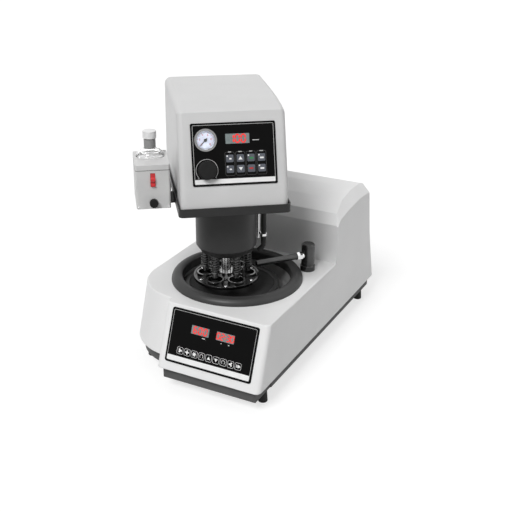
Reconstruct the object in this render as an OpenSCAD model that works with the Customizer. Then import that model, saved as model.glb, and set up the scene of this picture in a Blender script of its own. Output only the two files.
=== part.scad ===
// Bench grinder-polisher with one turning platen and a semi-automatic head.
// Origin: on the floor, midway between the feet's outer limits. Z is up, the platen is towards -Y.
// Lengths are in millimetres and angles in degrees.

/* [Base housing] */
// Width of the base across its deck
base_w = 345; // [338:1:356]
// Height of the moulded housing, from the underframe to the deck
shell_h = 129; // [124:1:150]
// Wall of the moulded housing
shell_wall = 4; // [3:0.5:6]
// Distance from the origin forward to the top edge of the panel face
front_y = 276; // [272:1:286]
// Lean of the panel face from upright
front_lean = 21; // [16:1:25]
// Width of the front block that carries the panel
block_w = 236; // [228:1:246]
// How far the front block stands before the rounded corner
block_step = 18; // [12:1:22]
// Radius of the rounded left front corner at the deck
corner_r = 108; // [90:1:112]
// Outward flare of that corner towards the floor
corner_flare = 22; // [10:1:26]
// Distance from the origin back to the rear face at deck level
rear_y = 289; // [280:1:300]
// Lean of the rear face from upright
rear_lean = 14; // [8:1:16]
// Radius of the upright rear edges
rear_r = 25; // [12:1:34]
// Small bevel that softens the deck's edge
edge_bevel = 3; // [1:0.5:4]

/* [Rear hump] */
// Distance from the origin back to the hump's front wall
hump_y = 58; // [57:1:64]
// Height of the hump's crown above the deck
hump_h = 134; // [124:1:145]
// Height of the bevel along the hump's sides
hump_bevel_h = 22; // [14:1:28]
// Width of the bevel along the hump's sides
hump_bevel_w = 20; // [12:1:26]

/* [Underframe and feet] */
// Height of the underframe
frame_h = 27; // [26:1:34]
// Wall and floor of the underframe
frame_wall = 4; // [3:0.5:5]
// How far the underframe is drawn in from the housing
frame_inset = 11; // [8:1:16]
// Height of a foot
foot_h = 27; // [20:1:32]
// Diameter of a foot at the floor
foot_d = 20; // [16:1:24]
// How far the feet stand in from the deck's sides
foot_inset = 20.5; // [18.5:0.5:26.5]
// Distance of the front right foot from the origin
foot_front_y = 262; // [250:1:266]
// Distance of the rear feet from the origin
foot_rear_y = 265; // [255:1:272]

/* [Panels] */
// Width of the base panel
base_panel_w = 198; // [188:1:204]
// Height of the base panel along its face
base_panel_h = 113; // [100:1:116]
// Width of the head panel
head_panel_w = 163; // [158:1:172]
// Height of the head panel along its face
head_panel_h = 119; // [114:1:124]
// Thickness of a foil panel with its carrier
panel_t = 1.6; // [1:0.2:2.4]
// Height of a key's pad above its foil
key_lift = 0.4; // [0.2:0.1:0.8]

/* [Bowl and splash ring] */
// Place of the bowl's middle, to the right of the origin
ring_x = 10; // [8:0.5:11]
// Place of the bowl's middle, behind the origin
ring_y = -108; // [-109:0.5:-106]
// Outer radius of the splash ring where it stands on the deck
ring_r = 141.5; // [138:0.5:142]
// Height of the splash ring's crown above the deck
crown_h = 14.5; // [12:0.5:15]
// Radius of the splash ring's inner lip
lip_r = 117; // [116.5:0.5:118]
// Wall of the splash ring
ring_wall = 3; // [2:0.5:3]
// Depth of the bowl below the deck
bowl_depth = 45; // [42:1:50]
// Wall of the bowl
bowl_wall = 3; // [2:0.5:4]
// Bore of the drain
drain_bore_d = 16; // [12:1:16]
// Outer diameter of the drain pipe
drain_pipe_d = 20; // [19:0.5:22]

/* [Platen] */
// Place of the platen's axis, to the right of the origin
platen_x = 2; // [1:0.5:4]
// Place of the platen's axis, behind the origin
platen_y = -117; // [-118:0.5:-115]
// Radius of the platen
platen_r = 101.5; // [99:0.5:102]
// Thickness of the platen
platen_t = 12; // [10:0.5:14]
// Depth of the paper's face below the deck
paper_drop = 9.5; // [9:0.5:14]
// Thickness of the abrasive disc
paper_t = 1; // [0.6:0.1:1.2]
// Width of the clamp ring's lip over the paper
clamp_lip = 11; // [6:1:14]
// Wall of the clamp ring
clamp_wall = 1.5; // [1:0.1:1.8]
// Diameter of the platen's spindle
spindle_d = 20; // [18:1:24]
// Outer diameter of a spindle bearing
bearing_d = 47; // [42:1:50]
// Width of a spindle bearing
bearing_w = 14; // [12:1:16]

/* [Drive] */
// Place of the motor's axis, to the right of the origin
motor_x = 8; // [4:1:10]
// Place of the motor's axis, behind the origin
motor_y = 128; // [122:1:140]
// Diameter of the motor
motor_d = 104; // [96:1:110]
// Height of the motor
motor_h = 130; // [120:1:150]
// Diameter of the motor's shaft
motor_shaft_d = 14; // [12:1:16]
// Running diameter of the pulley on the platen's spindle
driven_pulley_d = 90; // [84:1:94]
// Running diameter of the pulley on the motor
drive_pulley_d = 50; // [44:1:54]
// Width of the belt
belt_w = 16; // [14:1:18]
// Thickness of the belt
belt_t = 4; // [3:0.5:4]

/* [Tap] */
// How far the tap stands in from the deck's side
tap_inset = 44.5; // [38.5:0.5:45.5]
// Gap between the tap's foot and the splash ring
tap_gap = 2.2; // [1:0.2:6]
// Diameter of the tap's foot
tap_base_d = 32.6; // [30:0.2:34]
// Height of the tap's foot
tap_base_h = 13; // [10:0.5:15]
// Diameter of the tap's post
tap_post_d = 29.2; // [26:0.2:30]
// Height of the tap's top above the deck
tap_h = 62; // [56:1:70]
// Height of the arm's axis above the deck
arm_h = 36; // [36:0.5:40]
// Diameter of the arm
arm_d = 13; // [11:0.5:13]
// Reach of the arm from the post's axis
arm_reach = 124; // [110:1:125]
// Direction of the arm, seen from above
arm_heading = 231; // [228:1:233]

/* [Head] */
// Place of the specimen spindle, to the right of the origin
holder_x = 3.6; // [3:0.2:5]
// Place of the specimen spindle, behind the origin
holder_y = -144; // [-145:0.5:-143]
// Turn of the head against the base
head_yaw = 37; // [36:0.5:38]
// Gap between the column and the splash ring
column_gap = 3.73; // [3.6:0.01:6]
// Diameter of the column
column_d = 48; // [44:1:48]
// Height of the tray's underside above the deck
head_clear = 200; // [196:1:215]
// How far the tray stands out round the cover
tray_lip = 4.5; // [3.5:0.5:8]
// Height of the tray's folded flange
tray_h = 17; // [14:1:20]
// Thickness of the tray's sheet
tray_t = 3; // [2:0.5:3]
// Distance from the specimen spindle forward to the tray's front
tray_front = 117; // [116:1:122]
// Sideways shift of the head's casing against the spindle
head_shift = 2.5; // [0:0.5:4]
// Width of the head's cover
cover_w = 210; // [204:1:212]
// Wall of the head's cover
cover_wall = 3; // [2:0.5:4]
// Height of the cover's upright strip above the tray
strip_h = 49; // [46:1:54]
// Height of the cover's front face above the strip
face_rise = 139; // [136:1:146]
// Lean of the head's panel face from upright
face_lean = 19.4; // [16:0.2:20]
// Rise of the roof from the face to its crown
roof_rise = 10.5; // [6:0.5:14]
// Distance from the column's axis back to the cover's foot
cover_tail = 46; // [45:1:52]
// Forward lean of the cover's rear wall over its height
back_draw = 20; // [12:1:21]
// Radius that rounds the cover's side edges
cover_round = 12; // [6:1:16]

/* [Turning group] */
// Gap between the holder and the splash ring's crown in the raised place
hover_h = 2; // [1.5:0.5:4]
// Radius of the specimen holder
holder_r = 69.4; // [68:0.2:71]
// Thickness of the specimen holder's rim
holder_t = 6; // [5:0.5:7]
// Bore for a mounted specimen
specimen_d = 30; // [25:1:31]
// Outer diameter of the ring round a specimen
cup_d = 37; // [36:0.5:40]
// Height of that ring's top above the holder's underside
cup_h = 10.5; // [8:0.5:12]
// Pitch radius of the six specimens and fingers
pitch_r = 44; // [43.5:0.5:45]
// Diameter of the chuck
chuck_d = 35; // [32:1:38]
// Height of the chuck above the holder's face
chuck_h = 8; // [6:0.5:9]
// Diameter of the rotor's shaft
rotor_d = 21; // [19:0.5:22]
// Diameter of the drum
drum_d = 126.6; // [124:0.2:128]
// Height of the drum
drum_h = 148; // [140:1:150]
// Gap between the holder's underside and the drum's underside
drum_gap = 65; // [62:0.5:68]
// Width of the bevel round the drum's underside
drum_bevel = 10; // [6:0.5:12]

/* [Fingers] */
// Diameter of a finger's rod
finger_d = 10; // [8:0.5:11]
// Diameter of a finger's spring seat
seat_d = 18.6; // [18:0.2:20]
// Height of the spring seat above the holder's underside
seat_h = 29; // [27:0.5:30]
// Height of a finger's tip above the holder's underside
tip_h = 13.5; // [13:0.5:15]
// Upward travel of a finger
finger_travel = 12; // [8:1:14]
// Outer diameter of a finger's spring
spring_d = 18; // [17:0.2:18.4]
// Wire of a finger's spring
wire_d = 2; // [1.6:0.1:2.2]
// Turns of a finger's spring
spring_turns = 7; // [6:1:8]

/* [Dispenser] */
// Width of the dispenser's box
box_w = 67; // [65:1:70]
// Height of the dispenser's box
box_h = 89; // [86:1:94]
// Distance from the specimen spindle forward to the box's front
box_front = 60; // [58:1:64]
// Depth of the dispenser's box
box_l = 95; // [93:1:100]
// Width of the bracket between the tray and the box
bracket_w = 10; // [8:1:14]
// Diameter of the bottle
bottle_d = 55; // [50:1:56]
// Height of the bottle's cap above the box's top
cap_top_h = 50.5; // [48:0.5:56]
// Diameter of the bottle's cap
cap_d = 27; // [24:1:30]

/* [Drip tube] */
// Gap between the drum and the drip tube
tube_gap = 10.2; // [9.2:0.5:13.2]
// Diameter of the drip tube
tube_d = 11; // [9:0.5:12]
// Height of the tube's bend above the deck
tube_low = 87; // [84:1:92]
// Diameter of the bright rod beside the tube
rod_d = 6.5; // [5:0.5:7]

/* [Hidden] */
$fn = 72;

// Clearances and small common sizes
overrun = 1;
run_fit = 0.05;
play = 0.4;
belt_play = 0.3;
slice = 0.5;
edge_r = 12;

// Heights on the base
frame_z = foot_h;
floor_z = frame_z + frame_wall;
shell_z = frame_z + frame_h;
deck_z = shell_z + shell_h;
half_w = base_w / 2;
foot_x = half_w - foot_inset;
corner_x = corner_r - half_w;
corner_y = block_step + corner_r - front_y;
block_left = half_w - block_w;
side_flare = 2;
front_foot_y = front_y + shell_h * tan(front_lean);
rear_foot_y = rear_y + shell_h * tan(rear_lean);
hump_l = rear_y - hump_y;
hump_back_h = hump_h * 0.81;

// Hump stations as [distance back, height, bevel], each a share of the hump's own size
hump_shares = [
  [0, 0.67, 0.15], [0.072, 0.835, 0.55], [0.28, 0.95, 0.92],
  [0.566, 1, 1], [0.774, 0.978, 1], [0.83, 0.948, 0.9]
];

// Front left foot, drawn in to follow the rounded corner
foot_left_x = corner_x - corner_r * 0.78;
foot_left_y = corner_y - corner_r * 0.55;
foot_stem_d = 8;
sole_r = 2;
foot_stem_h = 10;

// Base panel: how far its top edge lies below the deck's edge, and how far it is right of the middle
base_panel_top = 7;
panel_shift = 0.5;
base_panel_x = half_w - block_w / 2 - panel_shift;
panel_round = 5;
foil_gap = 0.02;
key_round = 2;
window_round = 1;
window_w = 40.5;
window_h = 17.5;
window_gap = 57.5;
base_key = 14.4;
base_key_pitch = 16.7;
base_keys = 9;
base_key_row = 85;

// Bowl, platen and spindle
ring_gap = 1.5;
bowl_r = lip_r + ring_wall + ring_gap;
bowl_rim = 6;
bowl_floor_z = deck_z - bowl_depth;
bowl_fillet = 8;
crown_share = 0.45;
crown_r = lip_r + (ring_r - lip_r) * crown_share;
lip_fall = 5;
lip_turn = 105;
lip_drop = 8;
drain_r = 100;
drain_angle = 49.5;
drain_x = ring_x + drain_r * cos(drain_angle);
drain_y = ring_y + drain_r * sin(drain_angle);
paper_z = deck_z - paper_drop;
platen_z = paper_z - paper_t - platen_t;
hub_t = 6;
hub_r = 28;
hub_gap = 1.5;
housing_top_z = platen_z - hub_t - hub_gap;
housing_wall = 6.5;
housing_r = bearing_d / 2 + housing_wall;
dam_gap = 0.5;
drive_pin_d = 6;
drive_pin_r = 20;
race_w = 4;

// Belt drive
belt_margin = 2;
pulley_w = belt_w + 2 * belt_margin;
pulley_lift = 17;
pulley_z = floor_z + pulley_lift;
pulley_rim = 6;
pulley_rim_t = 1.5;
belt_z = pulley_z + (pulley_w - belt_w) / 2;
carrier_gap = 8;
carrier_z = pulley_z + pulley_w + carrier_gap;
carrier_t = 9;
leg_d = 14;
leg_x = 65;
leg_y = 38;
motor_flange = 108;
motor_flange_t = 8;
motor_post = 46;
motor_fins = 24;
motor_fin_d = 4;

// Services
inverter_w = 80;
inverter_l = 60;
inverter_h = 130;
inverter_side = 67.5;
inverter_x = inverter_side - half_w;
inverter_y = 212;
service_z = frame_z + frame_h * 0.6;
frame_rear_y = rear_foot_y - frame_inset;
spout_l = 36;
hose_socket_d = 17;
hose_socket_l = 16;
water_pipe_d = 10;
water_thread_d = 21;
water_thread_l = 16;
thread_step = 0.4;
inlet_side = 72.5;
inlet_x = inlet_side - half_w;
inlet_drop = 45;
inlet_z = deck_z - inlet_drop;
inlet_w = 47;
inlet_h = 78;
inlet_depth = 34;
inlet_rim = 3;
switch_w = 14;
switch_l = 22;
switch_tilt = 8;
vent_x = 35;
vent_drop = 15;
vent_z = deck_z - vent_drop;
vent_w = 160;
vent_h = 120;
vent_rim = 10;
vent_t = 2;
vent_slots = 8;

tap_x = half_w - tap_inset;
tap_far = ring_r + tap_gap + tap_base_d / 2;
tap_y = ring_y + sqrt(pow(tap_far, 2) - pow(tap_x - ring_x, 2));
nut_reach = 16;
nut_l = 12;
nut_collar = 3;

// Column and head
column_r = column_d / 2;
column_lip = 2.5;
spindle_lag = (holder_x - ring_x) * sin(head_yaw) - (holder_y - ring_y) * cos(head_yaw);
spindle_off = (holder_x - ring_x) * cos(head_yaw) + (holder_y - ring_y) * sin(head_yaw);
head_reach = spindle_lag + sqrt(pow(ring_r + column_gap + column_r, 2) - pow(spindle_off, 2));
tray_z = deck_z + head_clear;
tray_top_z = tray_z + tray_t;
bush_t = 2.5;
hub_wall = 4.5;
hub_outer_r = column_r + bush_t + hub_wall;
hub_drop = 20;
flange_t = 2;
collar_z = tray_z - hub_drop - flange_t;
cover_back = head_reach + cover_tail;
tray_w = cover_w + 2 * tray_lip;
tray_back = cover_back + tray_lip;
strip_front = tray_front - tray_lip;
strip_z = tray_z + tray_t + strip_h;
face_z = strip_z + face_rise;
face_front = strip_front - face_rise * tan(face_lean);
drum_play = 2.7;
drum_hole_r = drum_d / 2 + drum_play;
tray_round = 10;

// Roof as [distance back from the face's top edge, height], shares of the roof's depth and rise
roof_shares = [[0.04, 0.28], [0.12, 0.62], [0.25, 0.88], [0.45, 1], [0.7, 0.97], [0.94, 0.82], [1, 0.3]];

// Inside the head
arm_lift = 40;
arm_z = tray_z + arm_lift;
arm_t = 22;
boss_h = 32;
quill_d = 48;
boss_wall = 11;
boss_r = quill_d / 2 + boss_wall;
quill_travel = 23;
quill_flange_r = 30;
quill_flange_t = 8;
quill_spare = 3;
quill_top_z = arm_z + boss_h + quill_travel + quill_spare;
quill_lift = 34;
quill_low_z = tray_z + quill_lift;
gear_w = 58;
gear_h = 66;
shaft_end_d = 14;
arm_leg_inset = 19;
arm_leg_x = cover_w / 2 - arm_leg_inset;
hub_lift = 100;
hub_top_z = tray_z + hub_lift;
rib_t = 8;

// Things on the head's face, measured from the face's lower fold
head_panel_low = 8;
head_panel_round = 3;
gauge_x = -50;
gauge_s = 95;
gauge_d = 43;
gauge_depth = 30;
gauge_proud = 3;
gauge_bezel = 2;
needle_park = 225;
needle_l = 15;
needle_w = 2.4;
needle_t = 0.8;
needle_gap = 0.4;
needle_pin_d = 2;
knob_s = 38;
knob_d = 36;
knob_h = 15;
knob_flutes = 24;
regulator_d = 34;
regulator_l = 42;
stem_d = 8;
head_window_w = 46;
head_window_h = 19;
head_window_x = 11;
head_window_s = 96;
head_key = 15;
head_key_pitch = 20.4;
head_key_x = -5.5;
head_key_s = 38.5;
head_key_rise = 20.2;

// Turning group
holder_z = deck_z + crown_h + hover_h;
drum_z = holder_z + drum_gap;
drum_bevel_h = 14;
drum_floor_t = 48;
drum_wall = 12;
web_t = 3;
rim_w = 4;
boss_hub_r = 27;
spigot_d = 28;
finger_phase = -10;
finger_hold = 30;
finger_rod_z = drum_z + finger_hold;
finger_spare = 2;
finger_bore_z = finger_rod_z + finger_travel + finger_spare;
tip_d = 13;
tip_round = 2;
seat_t = 3.5;
pin_d = 7;
pin_h = 29.5;
pin_r = 42;
pin_turn = 30;

// Spring path: end turns lie close, the middle turns are open
wire_r = wire_d / 2;
spring_r = spring_d / 2 - wire_r;
spring_low_z = holder_z + seat_h + wire_r;
spring_high_z = drum_z - wire_r;
spring_rise = spring_high_z - spring_low_z;
end_pitch = wire_d * 1.35;
open_pitch = (spring_rise - 2 * end_pitch) / (spring_turns - 2);
rings_per_turn = 8;
wire_sides = 6;

// Dispenser
box_right = bracket_w - head_shift + tray_w / 2;
box_x = -(box_right + box_w / 2);
box_lift = 1;
box_z = tray_z + box_lift;
box_top_z = box_z + box_h;
box_round = 4;
bottle_inset = 4;
bottle_y = box_l - box_front - bottle_d / 2 - bottle_inset;
bottle_floor = 12;
bottle_z = box_z + bottle_floor;
bottle_round = 3;
shoulder_turn = 80;
bottle_wall = 1.5;
bottle_neck_d = 22;
shoulder_h = 14;
cap_h = 14;
well_gap = 0.8;
dose_switch_w = 9;
dose_switch_l = 27;
dose_switch_lift = 59;
dose_switch_z = box_z + dose_switch_lift;
dose_knob_d = 16.6;
dose_knob_h = 9;
dose_knob_lift = 13;
dose_knob_z = box_z + dose_knob_lift;
bracket_h = 40;

// Drip tube
tube_bend_r = 14;
tube_bend = 50;
tube_tail = 8;
tube_lap = 6;
tube_step = 0.6;
tube_bore_d = 6.6;
tube_x = drum_d / 2 + tube_gap + tube_d / 2;
rod_gap = 9;
rod_x = tube_x - rod_gap;
rod_y = 13;
rod_low = 95;
clip_h = 5;
clip_wall = 1.5;
air_d = 8;
air_inset = 45;
air_x = cover_w / 2 - air_inset;
lever_l = 44;

// Helpers

function arc(x, y, rx, ry, from, to, steps) = [
  for (i = [0:steps])
    let (a = from + (to - from) * i / steps)
    [x + rx * cos(a), y + ry * sin(a)]
];

// Rounded rectangle, its middle at the origin
module rounded_rect(w, h, r) {
  square([w - 2 * r, h], center = true);
  square([w, h - 2 * r], center = true);
  for (x = [-1, 1], y = [-1, 1])
    translate([x * (w / 2 - r), y * (h / 2 - r)])
      circle(r = r);
}

module lift(z) {
  translate([0, 0, z])
    children();
}

// Head frame: origin on the specimen spindle's axis, +Y towards the column
module at_head() {
  translate([holder_x, holder_y, 0])
    rotate([0, 0, head_yaw])
      children();
}

module at_column() {
  at_head()
    translate([0, head_reach, 0])
      children();
}

// At each of the six fingers
module at_fingers() {
  for (i = [0:5])
    rotate([0, 0, finger_phase + 60 * i])
      translate([pitch_r, 0, 0])
        children();
}

module at_platen() {
  translate([platen_x, platen_y, 0])
    children();
}

module at_ring() {
  translate([ring_x, ring_y, 0])
    children();
}

module at_motor() {
  translate([motor_x, motor_y, 0])
    children();
}

module at_tap() {
  translate([tap_x, tap_y, 0])
    children();
}

// On the base's panel face, s below its top edge; +Z stands out of the face and +Y runs up it
module on_base_face(x, s) {
  translate([x, -front_y - s * sin(front_lean), deck_z - s * cos(front_lean)])
    rotate([90 - front_lean, 0, 0])
      children();
}

// On the rear face at height z; +Z stands out of the face and +Y runs down it
module on_rear_face(x, z) {
  translate([x, rear_y + (deck_z - z) * tan(rear_lean), z])
    rotate([rear_lean - 90, 0, 0])
      children();
}

// On the head's panel face, s above its fold; +Z stands out of the face and +Y runs up it
module on_head_face(x, s) {
  at_head()
    translate([x, s * sin(face_lean) - strip_front, strip_z + s * cos(face_lean)])
      rotate([90 - face_lean, 0, 0])
        children();
}

// Distance of the leaning rear face behind the origin, and of the panel face before it, at height z
function rear_at(z) = rear_y + (deck_z - z) * tan(rear_lean);
function face_at(z) = front_y + (deck_z - z) * tan(front_lean);

// The body's corners at height z as [x, y, radius]; spread runs from 0 at the deck to 1 at the foot
function body_corners(z, spread) = [
  [corner_x, corner_y, corner_r + spread * corner_flare],
  [half_w + spread * side_flare - edge_r, edge_r + (1 - spread) * block_step - front_y, edge_r],
  [half_w + spread * side_flare - rear_r, rear_at(z) - rear_r, rear_r],
  [rear_r - half_w - spread * side_flare, rear_at(z) - rear_r, rear_r]
];

// Body of the housing with its rounded corner; inset draws it in from every side
module body_form(inset, low_z, high_z) {
  hull()
    for (level = [[low_z, 1, 0], [high_z - edge_bevel, 0, 0], [high_z - slice, 0, edge_bevel]])
      for (c = body_corners(level[0] + slice, level[1]))
        translate([c[0], c[1], level[0]])
          cylinder(r = c[2] - level[2] - inset, h = slice, $fn = c[2] > corner_r / 2 ? 96 : 32);
}

// Front block with its leaning panel face
module block_form(inset, low_z, high_z) {
  back = edge_r - front_y * 0.7;
  hull()
    for (level = [[low_z, 1, 0], [high_z - edge_bevel, 0, 0], [high_z - slice, 0, edge_bevel / 3]])
      for (x = [block_left + edge_r, half_w + level[1] * side_flare - edge_r])
        for (y = [edge_r - face_at(level[0] + slice), back])
          translate([x, y, level[0]])
            cylinder(r = edge_r - inset - level[2], h = slice, $fn = 32);
}

// One cross-section of the hump, lying across the base
module hump_section(station, inset) {
  top = station[1] * hump_h - inset;
  drop = station[2] * hump_bevel_h;
  draw = station[2] * hump_bevel_w;
  w = half_w - inset;
  y = max(hump_y + inset, hump_y + station[0] * hump_l) + slice;
  translate([0, y, deck_z])
    rotate([90, 0, 0])
      linear_extrude(slice)
        polygon([
          [-w, -2 * shell_wall], [w, -2 * shell_wall], [w, top - drop],
          [w - draw, top], [draw - w, top], [-w, top - drop]
        ]);
}

module hump_form(inset) {
  foot = deck_z - 2 * shell_wall;
  top = deck_z + hump_back_h - inset;
  hull() {
    for (station = hump_shares)
      hump_section(station, inset);
    for (x = [-1, 1]) {
      translate([x * (half_w - rear_r), rear_at(foot + slice) - rear_r, foot])
        cylinder(r = rear_r - inset, h = slice, $fn = 32);
      translate([x * (half_w - rear_r - edge_r), rear_at(top + slice) - rear_r, top])
        cylinder(r = rear_r - inset, h = slice, $fn = 32);
    }
  }
}

// Base

module base_housing() {
  color("white")
    difference() {
      union() {
        body_form(0, shell_z, deck_z);
        block_form(0, shell_z, deck_z);
        hump_form(0);
      }
      difference() {
        union() {
          body_form(shell_wall, shell_z - overrun, deck_z - shell_wall);
          block_form(shell_wall, shell_z - overrun, deck_z - shell_wall);
        }
        at_column()
          lift(deck_z - shell_wall - edge_r)
            cylinder(r = column_r + 2 * shell_wall, h = edge_r + overrun);
      }
      hump_form(shell_wall);
      at_ring()
        lift(deck_z - 2 * shell_wall)
          cylinder(r = bowl_r + bowl_wall + play, h = 3 * shell_wall);
      at_column()
        lift(deck_z / 2)
          cylinder(r = column_r + run_fit, h = deck_z);
      at_tap()
        lift(deck_z - 2 * shell_wall)
          cylinder(d = water_thread_d + play, h = 3 * shell_wall);
      on_rear_face(vent_x, vent_z)
        lift(-2 * shell_wall)
          linear_extrude(3 * shell_wall)
            square([vent_w - 2 * vent_rim, vent_h - 2 * vent_rim], center = true);
      on_rear_face(inlet_x, inlet_z)
        lift(-2 * shell_wall)
          linear_extrude(3 * shell_wall)
            square([inlet_w - 2 * inlet_rim, inlet_h - 2 * inlet_rim], center = true);
    }
}

module underframe_form(inset, z, h) {
  hull()
    for (c = [
      [corner_x, corner_y, corner_r + corner_flare],
      [half_w - edge_r, edge_r + block_step - front_y, edge_r + side_flare],
      [half_w - rear_r + side_flare, rear_foot_y - rear_r, rear_r],
      [rear_r - half_w - side_flare, rear_foot_y - rear_r, rear_r]
    ])
      translate([c[0], c[1], z])
        cylinder(r = c[2] - min(inset, c[2] - overrun), h = h, $fn = c[2] > corner_r / 2 ? 96 : 32);
}

module underframe_block(inset, z, h) {
  w = block_w - 2 * inset;
  translate([half_w - block_w + inset, inset - front_foot_y, z])
    cube([w, front_foot_y / 2, h]);
}

module underframe() {
  color("dimgray")
    difference() {
      union() {
        underframe_form(frame_inset, frame_z, frame_h);
        underframe_block(frame_inset, frame_z, frame_h);
      }
      underframe_form(frame_inset + frame_wall, floor_z, frame_h);
      underframe_block(frame_inset + frame_wall, floor_z, frame_h);
      for (place = foot_places())
        translate([place[0], place[1], frame_z - overrun])
          cylinder(d = foot_stem_d, h = frame_wall + 2 * overrun);
      translate([drain_x, frame_rear_y, service_z])
        rotate([90, 0, 0])
          cylinder(d = drain_pipe_d, h = 4 * frame_wall, center = true);
      translate([tap_x, frame_rear_y, service_z])
        rotate([90, 0, 0])
          cylinder(d = water_thread_d + thread_step, h = 4 * frame_wall, center = true);
    }
  color("dimgray")
    at_motor()
      for (x = [-motor_post, motor_post], y = [-motor_post, motor_post])
        translate([x, y, floor_z])
          cylinder(d = leg_d, h = carrier_z - floor_z);
}

function foot_places() = [
  [foot_x, -foot_front_y], [foot_x, foot_rear_y], [-foot_x, foot_rear_y], [foot_left_x, foot_left_y]
];

module feet() {
  color("black")
    for (place = foot_places())
      translate([place[0], place[1], 0])
        rotate_extrude()
          polygon(concat(
            [[0, 0]],
            arc(foot_d / 2 - sole_r, sole_r, sole_r, sole_r, -90, 0, 4),
            [
              [foot_d * 0.42, foot_h], [foot_stem_d / 2, foot_h],
              [foot_stem_d / 2, foot_h + foot_stem_h], [0, foot_h + foot_stem_h]
            ]
          ));
}

module base_panel() {
  middle = base_panel_top + base_panel_h / 2;
  color("black")
    on_base_face(base_panel_x, middle)
      lift(foil_gap)
        difference() {
          union() {
            linear_extrude(panel_t)
              rounded_rect(base_panel_w, base_panel_h, panel_round);
            for (i = [0:base_keys - 1])
              translate([
                (i - (base_keys - 1) / 2) * base_key_pitch,
                base_panel_h / 2 - base_key_row,
                0
              ])
                linear_extrude(panel_t + key_lift)
                  rounded_rect(base_key, base_key, key_round);
          }
          for (x = [-window_gap / 2, window_gap / 2])
            translate([x, base_panel_h * 0.18, panel_t - key_lift])
              linear_extrude(panel_t)
                rounded_rect(window_w, window_h, window_round);
        }
}

module bowl() {
  outer = bowl_r + bowl_wall;
  color("silver")
    difference() {
      union() {
        at_ring()
          rotate_extrude()
            polygon(concat(
              [[0, bowl_floor_z - bowl_wall]],
              arc(outer - bowl_fillet, bowl_floor_z - bowl_wall + bowl_fillet,
                bowl_fillet, bowl_fillet, -90, 0, 6),
              [
                [outer, deck_z], [outer + bowl_rim, deck_z],
                [outer + bowl_rim, deck_z + bowl_wall], [bowl_r, deck_z + bowl_wall]
              ],
              arc(bowl_r - bowl_fillet, bowl_floor_z + bowl_fillet,
                bowl_fillet, bowl_fillet, 0, -90, 6),
              [[0, bowl_floor_z]]
            ));
        at_platen()
          lift(bowl_floor_z - bowl_wall)
            cylinder(
              r = housing_r + dam_gap + bowl_wall,
              h = housing_top_z - bowl_floor_z + bowl_wall
            );
        translate([drain_x, drain_y, bowl_floor_z - 4 * bowl_wall])
          cylinder(d = drain_pipe_d, h = 4 * bowl_wall);
      }
      at_platen()
        lift(bowl_floor_z - 2 * bowl_wall)
          cylinder(r = housing_r + dam_gap, h = bowl_depth);
      translate([drain_x, drain_y, bowl_floor_z - 5 * bowl_wall])
        cylinder(d = drain_bore_d, h = bowl_depth / 2 + 5 * bowl_wall);
    }
}

module spindle_housing() {
  color("slategray")
    at_platen() {
      difference() {
        union() {
          lift(carrier_z)
            cylinder(r = housing_r, h = housing_top_z - carrier_z);
          hull()
            for (x = [-leg_x, leg_x], y = [-leg_y, leg_y])
              translate([x, y, carrier_z])
                cylinder(d = leg_d + rib_t, h = carrier_t, $fn = 32);
          lift(carrier_z + carrier_t)
            cylinder(r1 = housing_r + 2 * carrier_t, r2 = housing_r, h = 3 * carrier_t);
        }
        lift(carrier_z - overrun)
          cylinder(d = bearing_d - 2 * housing_wall, h = deck_z);
        lift(carrier_z - overrun)
          cylinder(d = bearing_d, h = bearing_w + overrun);
        lift(housing_top_z - bearing_w)
          cylinder(d = bearing_d, h = bearing_w + overrun);
      }
      for (x = [-leg_x, leg_x], y = [-leg_y, leg_y])
        translate([x, y, floor_z])
          cylinder(d = leg_d, h = carrier_z - floor_z);
    }
}

module spindle_bearings() {
  color("lightgray")
    at_platen()
      for (z = [carrier_z, housing_top_z - bearing_w])
        lift(z)
          rotate_extrude()
            polygon([
              [spindle_d / 2, 0], [spindle_d / 2 + race_w, 0],
              [spindle_d / 2 + race_w, overrun], [bearing_d / 2 - race_w, overrun],
              [bearing_d / 2 - race_w, 0], [bearing_d / 2, 0],
              [bearing_d / 2, bearing_w], [bearing_d / 2 - race_w, bearing_w],
              [bearing_d / 2 - race_w, bearing_w - overrun],
              [spindle_d / 2 + race_w, bearing_w - overrun],
              [spindle_d / 2 + race_w, bearing_w], [spindle_d / 2, bearing_w]
            ]);
}

module main_motor() {
  color("gray")
    at_motor()
      difference() {
        union() {
          lift(carrier_z)
            linear_extrude(motor_flange_t)
              rounded_rect(motor_flange, motor_flange, edge_r);
          lift(carrier_z + motor_flange_t)
            cylinder(d = motor_d, h = motor_h - motor_flange_t);
          lift(carrier_z + motor_h)
            cylinder(d1 = motor_d, d2 = motor_d * 0.8, h = motor_d * 0.14);
        }
        lift(carrier_z - overrun)
          cylinder(d = motor_shaft_d + 2 * run_fit, h = motor_h);
        for (i = [0:motor_fins - 1])
          rotate([0, 0, i * 360 / motor_fins])
            translate([motor_d / 2, 0, carrier_z + 2 * motor_flange_t])
              cylinder(d = motor_fin_d, h = motor_h - 3 * motor_flange_t, $fn = 16);
      }
}

module motor_shaft() {
  color("silver")
    at_motor()
      lift(pulley_z - belt_play)
        cylinder(d = motor_shaft_d, h = carrier_z + motor_h - pulley_z - motor_shaft_d);
}

// Flanged pulley for a flat ribbed belt
module pulley(d, bore) {
  rotate_extrude()
    polygon([
      [bore / 2, 0], [d / 2 + pulley_rim, 0], [d / 2 + pulley_rim, pulley_rim_t / 2],
      [d / 2, pulley_rim_t], [d / 2, pulley_w - pulley_rim_t],
      [d / 2 + pulley_rim, pulley_w - pulley_rim_t / 2], [d / 2 + pulley_rim, pulley_w],
      [bore / 2, pulley_w]
    ]);
}

module drive_pulley() {
  color("silver")
    at_motor()
      lift(pulley_z)
        pulley(drive_pulley_d, motor_shaft_d);
}

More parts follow.
